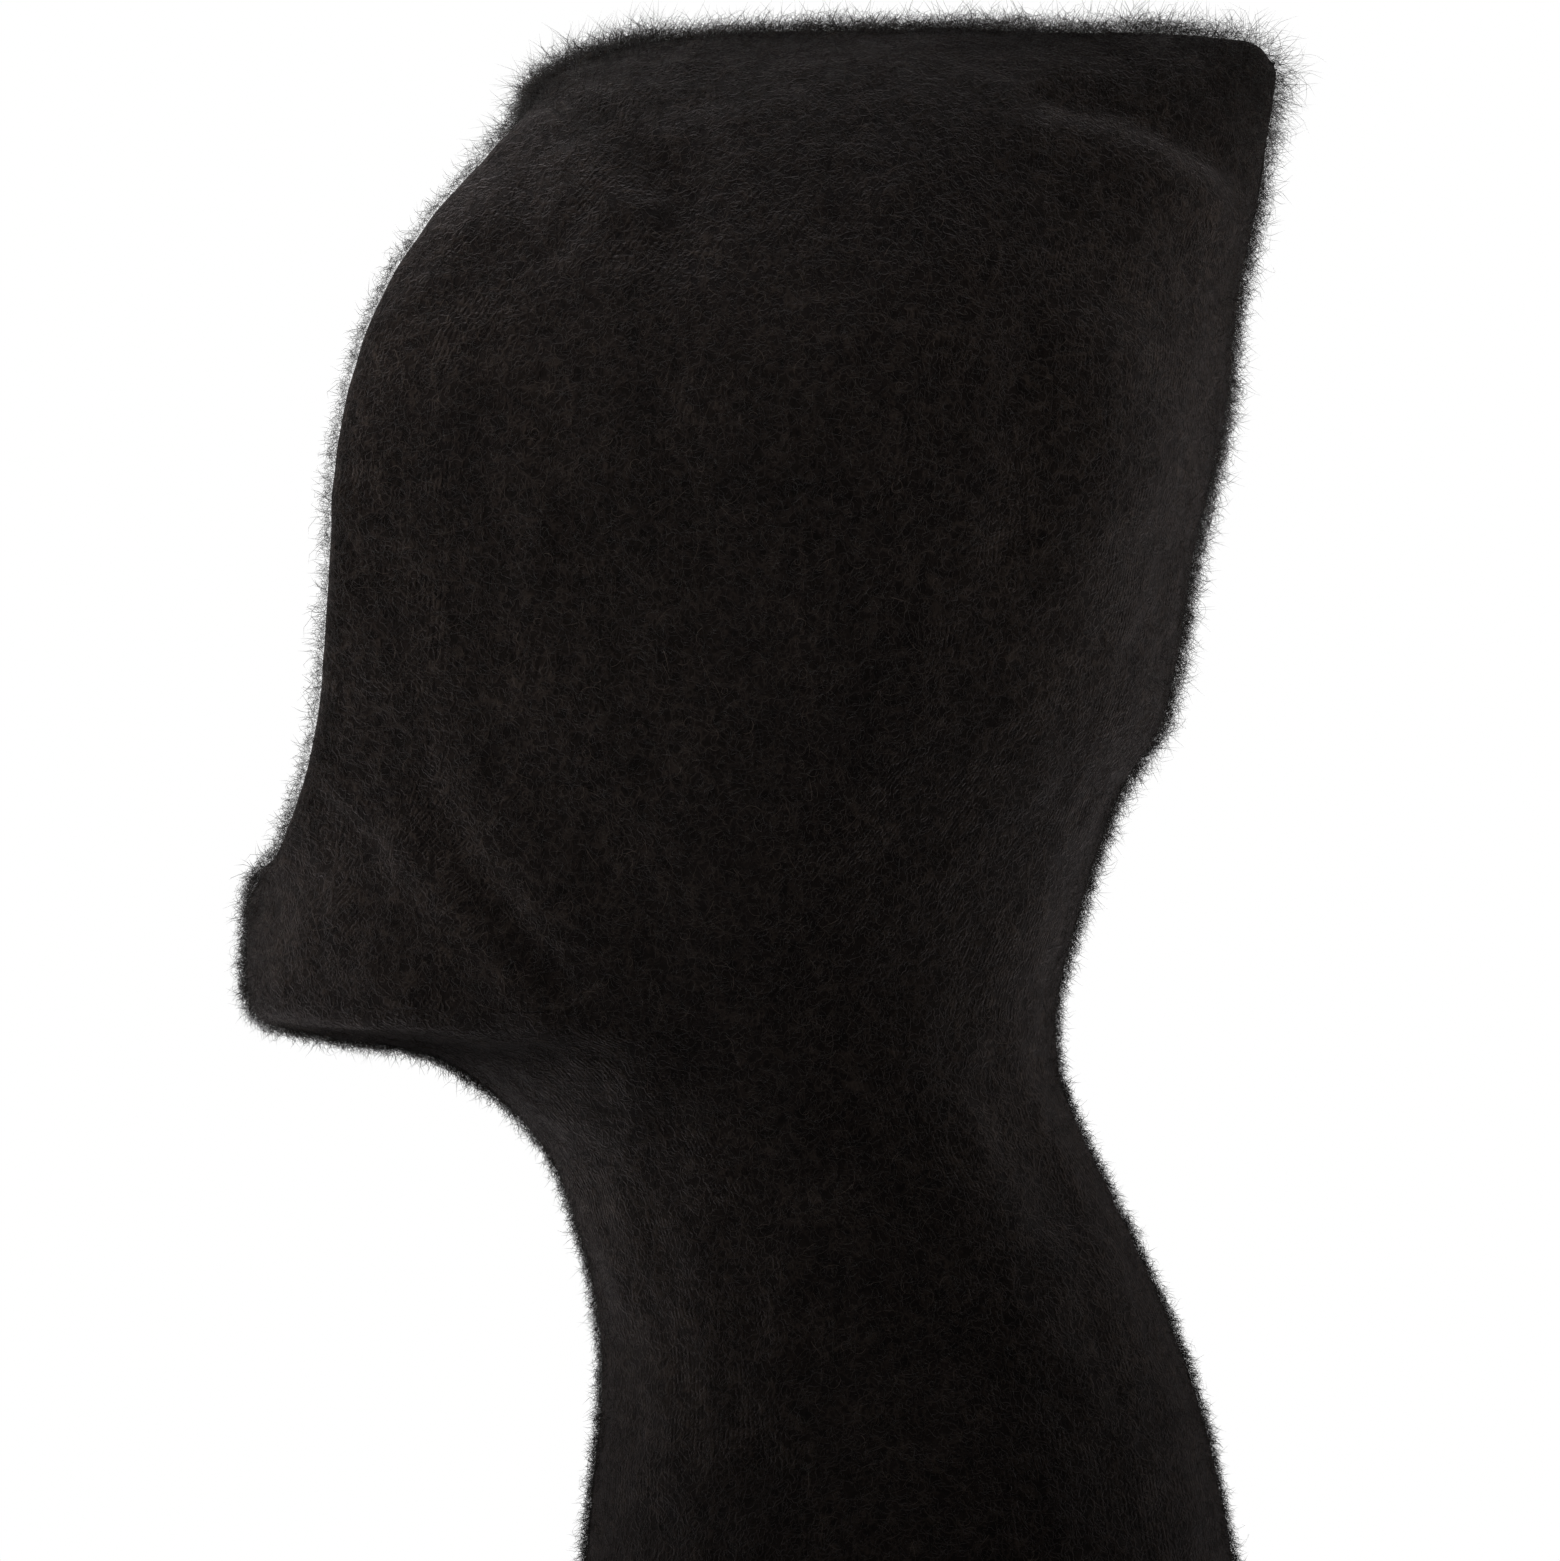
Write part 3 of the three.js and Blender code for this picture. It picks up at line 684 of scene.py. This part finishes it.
def face_band_rows(count):
    """Level and angle of the band's rim and of its seam, at stations from the chin to the forehead."""
    fine = np.linspace(0, 1, 1200)
    rim_level = OPENING_MIDDLE - OPENING_HALF_HEIGHT * np.cos(math.pi * fine)
    rim_angle = np.arcsin(rounds(rim_level)[6])
    at, rim_long = even_stations(form(rim_level, rim_angle), count)
    rim = np.interp(at, fine, rim_level), np.interp(at, fine, rim_angle)
    half_way = fine[:600] * 2
    seam_level = levels_behind_rim(BAND_WIDTH, half_way, half_way)
    seam_angle = angle_behind_rim(seam_level, BAND_WIDTH)
    seam_fine = np.linspace(0, 1, len(seam_level))
    at, seam_long = even_stations(form(seam_level, seam_angle), count)
    seam = np.interp(at, seam_fine, seam_level), np.interp(at, seam_fine, seam_angle)
    return rim, seam, rim_long, seam_long


def folded_strip(outer, normal, share, depth, width, groove=BORDER_GROOVE):
    """The rows of a folded band's section, from the grid of its outer face, seam first and fold last."""
    last = outer.shape[1] - 1
    column = share * last
    low = np.minimum(column.astype(int), last - 1)
    mix = (column - low)[None, :, None]
    sampled = outer[:, low] * (1 - mix) + outer[:, low + 1] * mix
    facing = unit(normal[:, low] * (1 - mix) + normal[:, low + 1] * mix)
    sunk = depth + groove * np.exp(-((share * width / 1.6) ** 2)) * (depth < 0.1)
    return sampled - facing * sunk[None, :, None]


def closed_round(grid):
    """A grid with its first row once more at the end."""
    return np.concatenate([grid, grid[:1]])


def face_band(material):
    """The band round the opening: its piece, and the points and normals of its outer face."""
    count = FACE_BAND_STATIONS
    rim, seam, rim_long, seam_long = face_band_rows(count)
    share, depth = fold_section(BAND_WIDTH, BAND_THICKNESS, PLY, BAND_STEPS)
    across = np.linspace(0, 1, BAND_COLUMNS)
    level = seam[0][:, None] + (rim[0] - seam[0])[:, None] * across
    angle = seam[1][:, None] + (rim[1] - seam[1])[:, None] * across
    plain, normal = on_form(level, angle)
    above_chin = np.clip((level - LEDGE[1] - 14) / 45, 0, 1)
    rolled = ROLL * np.clip((across - 0.58) / 0.42, 0, 1)[None, :] ** 2 * above_chin
    left_half, right_half = (
        plain + normal * (cloth_depth(plain, side, 0.0) - rolled)[..., None] for side in (1, -1)
    )
    outer = np.concatenate([left_half, mirrored(right_half[-2:0:-1])])
    facing = np.concatenate([normal, mirrored(normal[-2:0:-1])])
    outer[0, :, 0] = outer[count - 1, :, 0] = 0
    ring = folded_strip(outer, facing, share, depth, BAND_WIDTH)
    rows, columns = ring.shape[:2]
    faces = quads(rows, columns, closed_rows=True, closed_columns=True)
    station = np.concatenate([np.arange(count), np.arange(count - 2, 0, -1)]) / (count - 1)
    run = station * 0.5 * (rim_long + seam_long) / COURSE
    uv = np.stack(np.broadcast_arrays(share[None, :] * BAND_WIDTH / WALE_WIDTH, run[:, None]), axis=-1)
    points = ring.reshape(-1, 3)
    piece = finished("knit_face_band", points, outward(points, faces), material, uv=uv.reshape(-1, 2))
    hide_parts("face_band")
    ahead = unit(np.gradient(outer, axis=1))
    turned = np.clip((across - 0.82) / 0.18, 0, 1)[None, :, None] ** 2
    facing = unit(facing * (1 - 0.75 * turned) + ahead * turned)
    return piece, closed_round(outer), closed_round(facing)


def outward(points, faces):
    """The faces, turned round if they enclose a negative volume."""
    a, b, c = (points[faces[:, k]] for k in range(3))
    volume = np.einsum("ij,ij->i", a, np.cross(b, c)).sum()
    if faces.shape[1] == 4:
        d = points[faces[:, 3]]
        volume += np.einsum("ij,ij->i", a, np.cross(c, d)).sum()
    return faces if volume > 0 else faces[:, ::-1]


def neck_hem_band(material):
    """The band at the neck: its piece, and the points and normals of its outer face."""
    share, depth = fold_section(HEM_DEPTH, BAND_THICKNESS, PLY, BAND_STEPS)
    turn, angle, side = round_the_neck(HEM_STATIONS)
    level = np.linspace(HEM_DEPTH, 0, BAND_COLUMNS)[None, :]
    plain, normal = on_form(level, angle[:, None])
    plain[..., 0] *= side[:, None]
    normal[..., 0] *= side[:, None]
    outer = plain + normal * (0.5 * lumps(plain, 22.0, 5.1) - 0.4)[..., None]
    ring = folded_strip(outer, normal, share, depth, HEM_DEPTH)
    ring[..., 2] = np.maximum(ring[..., 2], 0.0)
    faces = quads(HEM_STATIONS, len(share), closed_rows=True, closed_columns=True)
    wales, courses = turn[:, None] / math.pi * WALES, share[None, :] * HEM_DEPTH / COURSE
    uv = np.stack(np.broadcast_arrays(wales, courses), axis=-1)
    points = ring.reshape(-1, 3)
    piece = finished("knit_neck_hem_band", points, outward(points, faces), material, uv=uv.reshape(-1, 2))
    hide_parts("neck_hem_band")
    return piece, closed_round(outer), closed_round(normal)


# ---- The nap of the brushed yarn ----
def scattered(rng, points, normals, count, density):
    """Roots spread over a grid of points by area and density, and the normals there."""
    side_a = points[:-1, 1:] - points[:-1, :-1]
    side_b = points[1:, :-1] - points[:-1, :-1]
    area = np.linalg.norm(np.cross(side_a, side_b), axis=-1)
    centre = 0.25 * (points[:-1, :-1] + points[1:, :-1] + points[:-1, 1:] + points[1:, 1:])
    weight = (area * density(centre)).ravel()
    cell = rng.choice(len(weight), size=count, p=weight / weight.sum())
    i, j = np.divmod(cell, points.shape[1] - 1)
    u, v = rng.random(count)[:, None], rng.random(count)[:, None]

    def blend(field):
        here, next_row = (field[k, j] * (1 - u) + field[k, j + 1] * u for k in (i, i + 1))
        return here * (1 - v) + next_row * v

    normal = blend(normals)
    normal /= np.linalg.norm(normal, axis=1, keepdims=True)
    return blend(points), normal


ROOT_DEPTH = 0.35  # how far a hair starts inside the cloth
LAY = np.array([0.0, 0.2, -0.35])  # the way that the nap is brushed: a little back and down
LEAST_BEND = 0.05
AROUND = (0.0, 2.094, 4.189)  # the three corners of a hair's section


def hairs(name, rng, roots, normals, length, raised, thickness, segments, curl, material):
    """Closed three-sided hairs, pointed at both ends: each starts in the cloth, rises and turns in an arc."""
    count = len(roots)
    comb = rng.normal(size=(count, 3)) + LAY
    comb = unit(comb - normals * np.einsum("ij,ij->i", comb, normals)[:, None])
    beside = np.cross(normals, comb)
    bend = curl * rng.normal(size=count)
    bend = np.where(np.abs(bend) < LEAST_BEND, LEAST_BEND, bend)
    wave = rng.uniform(0, 2 * math.pi, count)
    sweep = raised * rng.uniform(0.2, 0.9, count)

    def at(t):
        ahead, aside = np.sin(bend * t) / bend, (1 - np.cos(bend * t)) / bend
        rise = raised * t - sweep * t * t + 0.05 * curl * (np.sin(wave + 5 * t) - np.sin(wave))
        height = np.maximum(length * rise + 0.10, 0.05 + 0.3 * t)
        height = height if t > 0 else np.full(count, -ROOT_DEPTH)
        along = (length * ahead)[:, None] * comb + (length * aside)[:, None] * beside
        return roots + along + height[:, None] * normals

    rings = [at(0.0)]
    for s in range(1, segments):
        t = s / segments
        way = unit(at(t + 0.05) - at(t - 0.05 if t > 0.06 else 0.01))
        e1 = unit(np.cross(way, normals + 0.01))
        e2 = np.cross(way, e1)
        here, wide = at(t), (thickness * (1.15 - 0.7 * t))[:, None]
        rings += [here + wide * (math.cos(a) * e1 + math.sin(a) * e2) for a in AROUND]
    rings.append(at(1.0))
    points = np.stack(rings, axis=1)
    points[..., 2] = np.maximum(points[..., 2], 0.1)
    each = points.shape[1]
    faces = [(0, 1 + (k + 1) % 3, 1 + k) for k in range(3)]
    for s in range(segments - 2):
        for k in range(3):
            a, b = 1 + 3 * s + k, 1 + 3 * s + (k + 1) % 3
            faces += [(a, b, b + 3), (a, b + 3, a + 3)]
    last = each - 4
    faces += [(last + k, last + (k + 1) % 3, each - 1) for k in range(3)]
    faces = (np.array(faces)[None] + (np.arange(count) * each)[:, None, None]).reshape(-1, 3)
    return finished(name, points.reshape(-1, 3), faces, material, crisp=False)


def behind_front(y, z):
    return y - front_at(np.minimum(z, FOREHEAD[1]))


def halo(points):
    """How long the nap is at each point: longest above the forehead and over the crown, then at the back."""
    x, y, z = points[..., 0], points[..., 1], points[..., 2]
    crown = np.clip((z - 385) / 30, 0, 1)
    back = np.clip((y - 40) / 60, 0, 1) * np.clip((z - 170) / 60, 0, 1)
    rim = np.exp(-((behind_front(y, z) / 30.0) ** 2)) * np.clip((z - 150) / 20, 0, 1) * (1 - crown)
    tuft = 3.0 * np.exp(-((y + 42) ** 2 + (z - 412) ** 2) / 18.0**2)
    clumps = 0.5 + 0.5 * np.sin(y / 6.1 + 1.3 * np.sin(z / 9.0)) * np.sin(z / 7.3 + x / 8.0)
    return (3.0 + 1.8 * crown + 1.2 * back + 1.4 * (back + crown) * clumps + tuft) * (1 + 0.15 * rim)


def seam_share(points):
    return np.exp(-((points[..., 0] / 16.0) ** 2))


def rim_share(points):
    x, y, z = points[..., 0], points[..., 1], points[..., 2]
    chin = np.exp(-((x / 26.0) ** 2)) * (z < LEDGE[1] + 14)
    return np.exp(-((behind_front(y, z) / 4.0) ** 2)) * (z > LEDGE[1] - 8) * (1 - 0.9 * chin)


def all_over(points):
    """Denser beside the seams and at the rim, where brushing lifts the nap most."""
    return 0.65 + 0.08 * halo(points) + 0.8 * seam_share(points) + 2.5 * rim_share(points)


def edges_only(points):
    return 0.01 + seam_share(points) + 3.0 * rim_share(points)


LONGEST_HAIR = 15.0
# kind, hairs for a share of 1, segments, reach (of the halo) and rise, half thickness, curl, colour, density
NAP = (
    ("down", 26000, 2, (0.5, 1.2), (0.4, 1.7), 0.052, 1.3, "dark", all_over),
    ("fringe", 20000, 2, (0.2, 1.15), (0.7, 1.7), 0.060, 1.5, "dark", edges_only),
    ("tangle_dark", 11000, 3, (1.4, 2.7), (0.05, 0.7), 0.052, 2.0, "dark", all_over),
    ("tangle_brown", 11000, 3, (1.5, 3.0), (0.03, 0.4), 0.050, 2.2, "brown", all_over),
    ("curl", 1300, 6, (1.2, 2.4), (0.0, 0.10), 0.050, 3.4, "light", all_over),
    ("stray", 450, 8, (2.0, 3.4), (0.1, 0.7), 0.028, 3.0, "light", all_over),
)


def nap(name, rng, points, normals, share, colours, fringe=1.0):
    """The nap on one piece of cloth: down, a fringe at its edges, tangles of two colours, and light curls."""
    made = []
    for kind, most, segments, reach, rise, thickness, curl, colour, density in NAP:
        count = int(most * share * (fringe if density is edges_only else 1.0))
        roots, facing = scattered(rng, points, normals, count, density)
        length = np.minimum(halo(roots) * rng.uniform(*reach, count), LONGEST_HAIR)
        raised = rng.uniform(*rise, count) ** 1.5
        width = thickness * rng.uniform(0.75, 1.25, count)
        made.append(hairs(
            f"{kind}_{name}", rng, roots, facing, length, raised, width, segments, curl, colours[colour]
        ))
    return made


# ---- The seams inside, their stitches and the labels ----
ALLOWANCE_STITCH = 2.4
LOOP_SPACING, LOOP_MIDDLE = 1.9, 2.15  # of the overlock, along the seam and from its outer side
OVERLOCK_LOOP, LINK_LOOP = (2.05, 1.75, 0.36), (1.75, 0.75, 0.27)  # half width, half depth, thread
FACE_LINKS, HEM_LINKS, TACK_STITCHES = 112, 176, 15
SEAM_ROOM = 1.6  # from the middle to the first link, where the chin and crown seams cross
TACK_THREAD, TACK_LEAST_REACH = 0.5, 1.1
LABEL_BACK, LABEL_FACE, LABEL_THREAD = 0.32, 0.95, 1.05  # depths inside the hem band
LABEL_INSET, LABEL_STITCH_GAP = 2.3, 2.6
SATIN_PLY, SATIN_WAVE, SATIN_SLACK = 0.3, 0.7, 1.6
SATIN_INSET, SATIN_STITCH_GAP = 2.0, 2.7


def in_the_middle(ys, zs, inward):
    """A line in the plane between the sides: points, the way along and the way into the hood."""
    line = np.stack([0 * ys, ys, zs], axis=-1)
    along = unit(np.gradient(line, axis=0))
    into = inward * np.stack([0 * ys, along[:, 2], -along[:, 1]], axis=-1)
    return line, along, into


def evenly_spaced(ys, zs, spacing):
    """The same line with its points that far apart."""
    long = np.concatenate([[0], np.cumsum(np.hypot(np.diff(ys), np.diff(zs)))])
    at = np.linspace(0, long[-1], max(int(long[-1] / spacing), 2))
    return np.interp(at, long, ys), np.interp(at, long, zs)


def seam_line(name, spacing):
    """The line on the form above a seam, between the ends that the frame gives it."""
    low, high = box_of(name)
    fine = np.linspace(0, 1, 600)
    if name.startswith("crown"):
        ys = low[1] + (high[1] - low[1]) * fine
        return in_the_middle(*evenly_spaced(ys, crown_height(ys), spacing), 1)
    zs = low[2] + (high[2] - low[2]) * fine
    if name.startswith("back"):
        return in_the_middle(*evenly_spaced(back_at(zs), zs, spacing), -1)
    return in_the_middle(*evenly_spaced(front_at(zs), zs, spacing), 1)


def swept(line, into, section):
    """Points and faces of a section (across, depth) drawn along a line, closed at both ends."""
    across, depth = np.array(section, float).T
    rows = line[:, None] + RIGHT * across[None, :, None] + into[:, None] * depth[None, :, None]
    count, around = rows.shape[:2]
    points = np.concatenate([rows.reshape(-1, 3), rows[[0, -1]].mean(axis=1)])
    faces = quads(count, around, closed_columns=True)
    k = np.arange(around)
    k2 = (k + 1) % around
    first = np.stack([k2, k, np.full(around, count * around)], axis=1)
    last = np.stack([k, k2, np.full(around, count * around + 1)], axis=1)
    last[:, :2] += (count - 1) * around
    a, b, c = points[faces[:, 0]], points[faces[:, 1]], points[faces[:, 2]]
    middle = rows.mean(axis=1)[faces[:, 0] // around]
    if np.einsum("ij,ij->i", np.cross(b - a, c - a), a - middle).sum() < 0:
        return points, [faces[:, ::-1], np.concatenate([first, last])[:, ::-1]]
    return points, [faces, np.concatenate([first, last])]


def allowance(name, depth, high, material):
    """The two plies of a seam allowance lying side by side, with soft free edges and a notch between them."""
    line, _, into = seam_line(name, 2.0)
    half = [
        (1.35, -0.2), (1.42, 0.05), (1.5, 0.5 * high), (1.38, 0.86 * high),
        (0.95, high), (0.45, high), (0.12, 0.9 * high),
    ]
    section = [(0, -0.2)] + half + [(0, 0.66 * high)] + [(-across, up) for across, up in half[::-1]]
    points, faces = swept(line, into, [(across, depth + up) for across, up in section])
    ripple = 0.12 * np.sin(points[:, 2:] * 0.45 + points[:, 1:2] * 0.4)
    points = points + ripple * np.sign(points[:, :1]) * RIGHT
    piece = finished(f"{name}_allowance", points, faces, material, uv=points[:, [1, 2]] / ALLOWANCE_STITCH)
    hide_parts(name)
    return piece


def thread_form(size):
    """The primitive just added, drawn out to its size, as points and faces; the object itself goes.
    The faces are put in order, because a primitive doesn't always come with them in the same one."""
    bpy.ops.object.mode_set(mode="EDIT")
    bpy.ops.mesh.select_all(action="SELECT")
    bpy.ops.transform.resize(value=size)
    bpy.ops.object.mode_set(mode="OBJECT")
    mesh = bpy.context.object.data
    points = np.array([v.co for v in mesh.vertices])
    by_corners = {}
    for face in mesh.polygons:
        corners = list(face.vertices)
        first = corners.index(min(corners))
        by_corners.setdefault(len(corners), []).append(corners[first:] + corners[:first])
    bpy.data.objects.remove(bpy.context.object)
    bpy.data.meshes.remove(mesh)
    return points, [np.array(sorted(by_corners[count])) for count in sorted(by_corners)]


def loop_of_thread(across, deep, thick):
    """One loop: a ring of thread, drawn out to the size of the edge that it binds."""
    bpy.ops.mesh.primitive_torus_add(
        major_segments=10, minor_segments=4, major_radius=1.0, minor_radius=thick / across
    )
    return thread_form((across, deep, across))


def grain_of_thread(long, thick):
    """One short stitch: a grain of thread, pulled in at both ends."""
    bpy.ops.mesh.primitive_uv_sphere_add(segments=6, ring_count=6, radius=1.0)
    return thread_form((thick, thick, long))


def sewn(name, stitch, places, ways, material, **finish):
    """Copies of one stitch, each at its place and turned to three ways."""
    shape, faces = stitch
    points = places[:, None] + sum(shape[None, :, k:k + 1] * ways[k][:, None] for k in range(3))
    starts = (np.arange(len(places)) * len(shape))[:, None, None]
    copies = [(group[None] + starts).reshape(-1, group.shape[1]) for group in faces]
    return finished(name, points.reshape(-1, 3), copies, material, slot="sewing_yarn", crisp=False, **finish)


def overlock(name, material):
    """Loops of yarn round the free edge of a seam allowance, each leaning into the next."""
    line, along, into = seam_line(name, LOOP_SPACING)
    middle = line + into * (SEAM_OUTER + LOOP_MIDDLE)
    across = unit(RIGHT + 0.32 * along)
    ways = across, unit(into), unit(np.cross(across, into))
    piece = sewn(f"{name}_stitches", loop_of_thread(*OVERLOCK_LOOP), middle, ways, material)
    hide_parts(name)
    return piece


def linking(name, line, inward, material):
    """A chain of linked stitches along a line on the inside."""
    along = unit(np.gradient(line, axis=0))
    beside = unit(np.cross(inward, along))
    turned = np.where(np.arange(len(line)) % 2, 0.35, -0.35)[:, None]
    ways = (
        unit(along + 0.25 * turned * beside), unit(beside + turned * inward), unit(inward - turned * beside),
    )
    piece = sewn(f"{name}_stitches", loop_of_thread(*LINK_LOOP), line, ways, material)
    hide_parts(name)
    return piece


def face_band_linking(material):
    """The stitches that link the side panels to the band round the opening."""
    reach = BAND_WIDTH + CLEARANCE + LINK_REACH
    fine = np.linspace(0, 1, 900)
    level = levels_behind_rim(reach, fine, fine[1:], OPENING_HALF_HEIGHT - 0.02)
    angle = angle_behind_rim(level, reach)
    share = np.linspace(0, 1, len(level))
    at, _ = even_stations(form(level, angle), FACE_LINKS)
    level, angle = np.interp(at, share, level), np.interp(at, share, angle)
    half, normal = on_form(level, angle)
    line = half - normal * (FABRIC + CLEARANCE + LINK_DEPTH)
    keep = line[:, 0] > SEAM_ROOM
    line, inward = line[keep], -normal[keep]
    whole = np.concatenate([line, mirrored(line[::-1])])
    return linking("face_band_linking", whole, np.concatenate([inward, mirrored(inward[::-1])]), material)


def hem_linking(material):
    """The stitches that link the side panels to the hem band."""
    _, angle, side = round_the_neck(HEM_LINKS)
    plain, normal = on_form(HEM_DEPTH + CLEARANCE + LINK_REACH, angle)
    line, inward = plain - normal * (FABRIC + CLEARANCE + LINK_DEPTH), -normal
    line[:, 0] *= side
    inward[:, 0] *= side
    return linking("neck_hem_linking", line, inward, material)


def bar_tack(name, long_way, into, material):
    """A tack across the end of a seam: short satin stitches lying side by side."""
    low, high = box_of(name)
    count = TACK_STITCHES
    middle, half = (low + high) / 2, (high - low) / 2
    places = np.repeat(middle[None], count, axis=0)
    places[:, 0] = np.linspace(low[0] + 0.4, high[0] - 0.4, count)
    long_way, into = unit(np.array(long_way, float)), unit(np.array(into, float))
    reach = float(abs(half @ np.abs(long_way)))
    tilt = unit(long_way[None] + np.where(np.arange(count) % 2, 0.22, -0.22)[:, None] * RIGHT)
    ways = unit(np.cross(tilt, into[None])), np.repeat(into[None], count, axis=0), tilt
    stitch = grain_of_thread(max(reach, TACK_LEAST_REACH), TACK_THREAD)
    piece = sewn(f"{name}_stitches", stitch, places, ways, material)
    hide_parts(name)
    return piece


def brand_label(material, thread):
    """A blank woven label on the inside of the hem band, and the stitches round its edge."""
    low, high = box_of("brand_label")
    x = np.linspace(low[0], high[0], 34)[None, :]
    z = np.linspace(low[2], high[2], 14)[:, None]

    def wall(x, z, depth):
        half = rounds(z)[0]
        angle = math.pi - np.arcsin(np.clip(np.abs(x) / half, 0, 1))
        point, normal = on_form(z, angle)
        side = np.sign(x)
        point[..., 0] *= side
        normal[..., 0] *= side
        normal[np.abs(point[..., 0]) < 0.01, 0] = 0
        return point - normal * np.asarray(depth)[..., None], normal

    edge = np.minimum(np.minimum(x - low[0], high[0] - x), np.minimum(z - low[2], high[2] - z))
    pulled = 0.22 * np.exp(-(((edge - 2.2) / 0.7) ** 2)) - 0.12 * np.clip(1 - edge / 0.8, 0, 1)
    back, _ = wall(x, z, BAND_THICKNESS + LABEL_BACK + 0 * edge)
    face, _ = wall(x, z, BAND_THICKNESS + LABEL_FACE - pulled)
    points, faces = panel_shell(face, back)
    faces = outward(points, faces)
    label = finished("blank_woven_brand_label", points, faces, material, slot="woven_label")
    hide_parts("brand_label")
    inset, gap = LABEL_INSET, LABEL_STITCH_GAP
    xs = np.arange(low[0] + inset, high[0] - inset + 0.1, gap)
    zs = np.arange(low[2] + inset, high[2] - inset + 0.1, gap)
    spots = [(v, low[2] + inset, 0) for v in xs] + [(v, high[2] - inset, 0) for v in xs]
    spots += [(low[0] + inset, v, 1) for v in zs] + [(high[0] - inset, v, 1) for v in zs]
    spots = np.array(spots)
    places, normal = wall(spots[:, 0], spots[:, 1], BAND_THICKNESS + LABEL_THREAD + 0 * spots[:, 0])
    upright = np.array([[0.0, 0, 1.0]])
    way = np.where(spots[:, 2:] > 0.5, upright, unit(np.cross(upright, normal)))
    ways = unit(np.cross(way, normal)), normal, way
    stitches = sewn("brand_label_edge_stitches", grain_of_thread(0.95, 0.3), places, ways, thread)
    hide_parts("brand_label_stitching")
    return label


def care_label(material, thread):
    """A folded satin label that hangs from its stitched top edge."""
    low, high = box_of("care_label")
    long, thick = high[2] - low[2], high[1] - low[1]
    across, steps = 26, 16
    share, depth = fold_section(long, thick, SATIN_PLY, steps)
    x = np.linspace(low[0], high[0], across)
    z = high[2] - np.linspace(0, long, BAND_COLUMNS)
    flat = np.zeros((across, BAND_COLUMNS, 3))
    flat[..., 0], flat[..., 2] = x[:, None], z[None, :]
    slack = (1 - (flat[..., 2] - low[2]) / long) ** 2
    flat[..., 1] = high[1] + slack * (SATIN_WAVE * np.sin(x / 5.2)[:, None] - SATIN_SLACK)
    facing = np.zeros_like(flat)
    facing[..., 1] = 1
    rows = folded_strip(flat, facing, share, depth, long, 0.0)
    count, around = rows.shape[:2]
    points = rows.reshape(-1, 3)
    faces = quads(count, around, closed_columns=True)
    outside = steps + FOLD_TURNS + steps
    strips = []
    for row in (0, count - 1):
        outer_ring = np.arange(outside) + row * around
        inner_ring = np.arange(around - 1, outside - 1, -1) + row * around
        pair = np.stack([outer_ring[:-1], outer_ring[1:], inner_ring[1:], inner_ring[:-1]], axis=1)
        strips.append(pair if row else pair[:, ::-1])
    side = np.concatenate(strips)
    whole = outward(points, faces)
    if whole is not faces:
        side = side[:, ::-1]
    faces = np.concatenate([whole, side])
    label = finished("satin_care_label", points, faces, material, body=CARE_BODY, slot="care_satin")
    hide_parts("care_label")
    xs = np.arange(low[0] + SATIN_INSET + 0.2, high[0] - SATIN_INSET, SATIN_STITCH_GAP)
    places = np.stack([xs, 0 * xs + low[1] - 0.1, 0 * xs + high[2] - SATIN_INSET], axis=1)
    ways = [np.repeat(np.array([w], float), len(xs), axis=0) for w in ((0, 0, 1), (0, 1, 0), (1, 0, 0))]
    sewn("care_label_top_stitches", grain_of_thread(1.0, 0.28), places, ways, thread, body=CARE_BODY)
    return label


# ---- Everything, in order ----
knit = knit_finish()
yarn = yarn_finish()
hair = {
    "dark": plain_finish("brushed_hair_dark", (0.0080, 0.0057, 0.0046), 0.9, 0.02, 0.15),
    "brown": plain_finish("brushed_hair_brown", (0.0280, 0.0205, 0.0165), 0.9, 0.03, 0.08),
    "light": plain_finish("brushed_hair_light", (0.085, 0.066, 0.055), 0.8, 0.1),
}
set_up_studio()
rng = np.random.default_rng(7)

right, right_points, right_normals = side_panel("knit_right_side_panel", -1, knit)
left, left_points, left_normals = side_panel("knit_left_side_panel", 1, knit)
rim_band, rim_points, rim_normals = face_band(knit)
hem, hem_points, hem_normals = neck_hem_band(knit)
naps = {
    "left_side": nap("left_side", rng, left_points, left_normals, 1.0, hair),
    "right_side": nap("right_side", rng, right_points, right_normals, 1.0, hair),
    "face_band": nap("face_band", rng, rim_points, rim_normals, 0.32, hair, 2.6),
    "neck_hem": nap("neck_hem", rng, hem_points, hem_normals, 0.12, hair),
}

for seam in ("crown_seam", "back_seam", "chin_neck_seam"):
    allowance(seam, SEAM_OUTER, SEAM_DEPTH, knit)
for join in ("face_band_join", "neck_hem_join"):
    allowance(join, BAND_THICKNESS + CLEARANCE, SEAM_DEPTH / 2, knit)
for edge in ("crown", "back", "chin_neck"):
    overlock(f"{edge}_overlock", yarn)
face_band_linking(yarn)
hem_linking(yarn)
bar_tack("crown_bar_tack", (0, 1, 0.25), (0, 0.2, -1), yarn)
bar_tack("chin_bar_tack", (0, 0, 1), (0, 1, 0), yarn)
woven = label_finish("woven_label_black", (0.010, 0.0095, 0.009), (0.045, 0.042, 0.040), 900.0, 0.55)
brand = brand_label(woven, yarn)
care_satin = label_finish("care_satin_white", (0.52, 0.51, 0.49), (0.72, 0.71, 0.69), 1100.0, 0.38)
satin = care_label(care_satin, yarn)
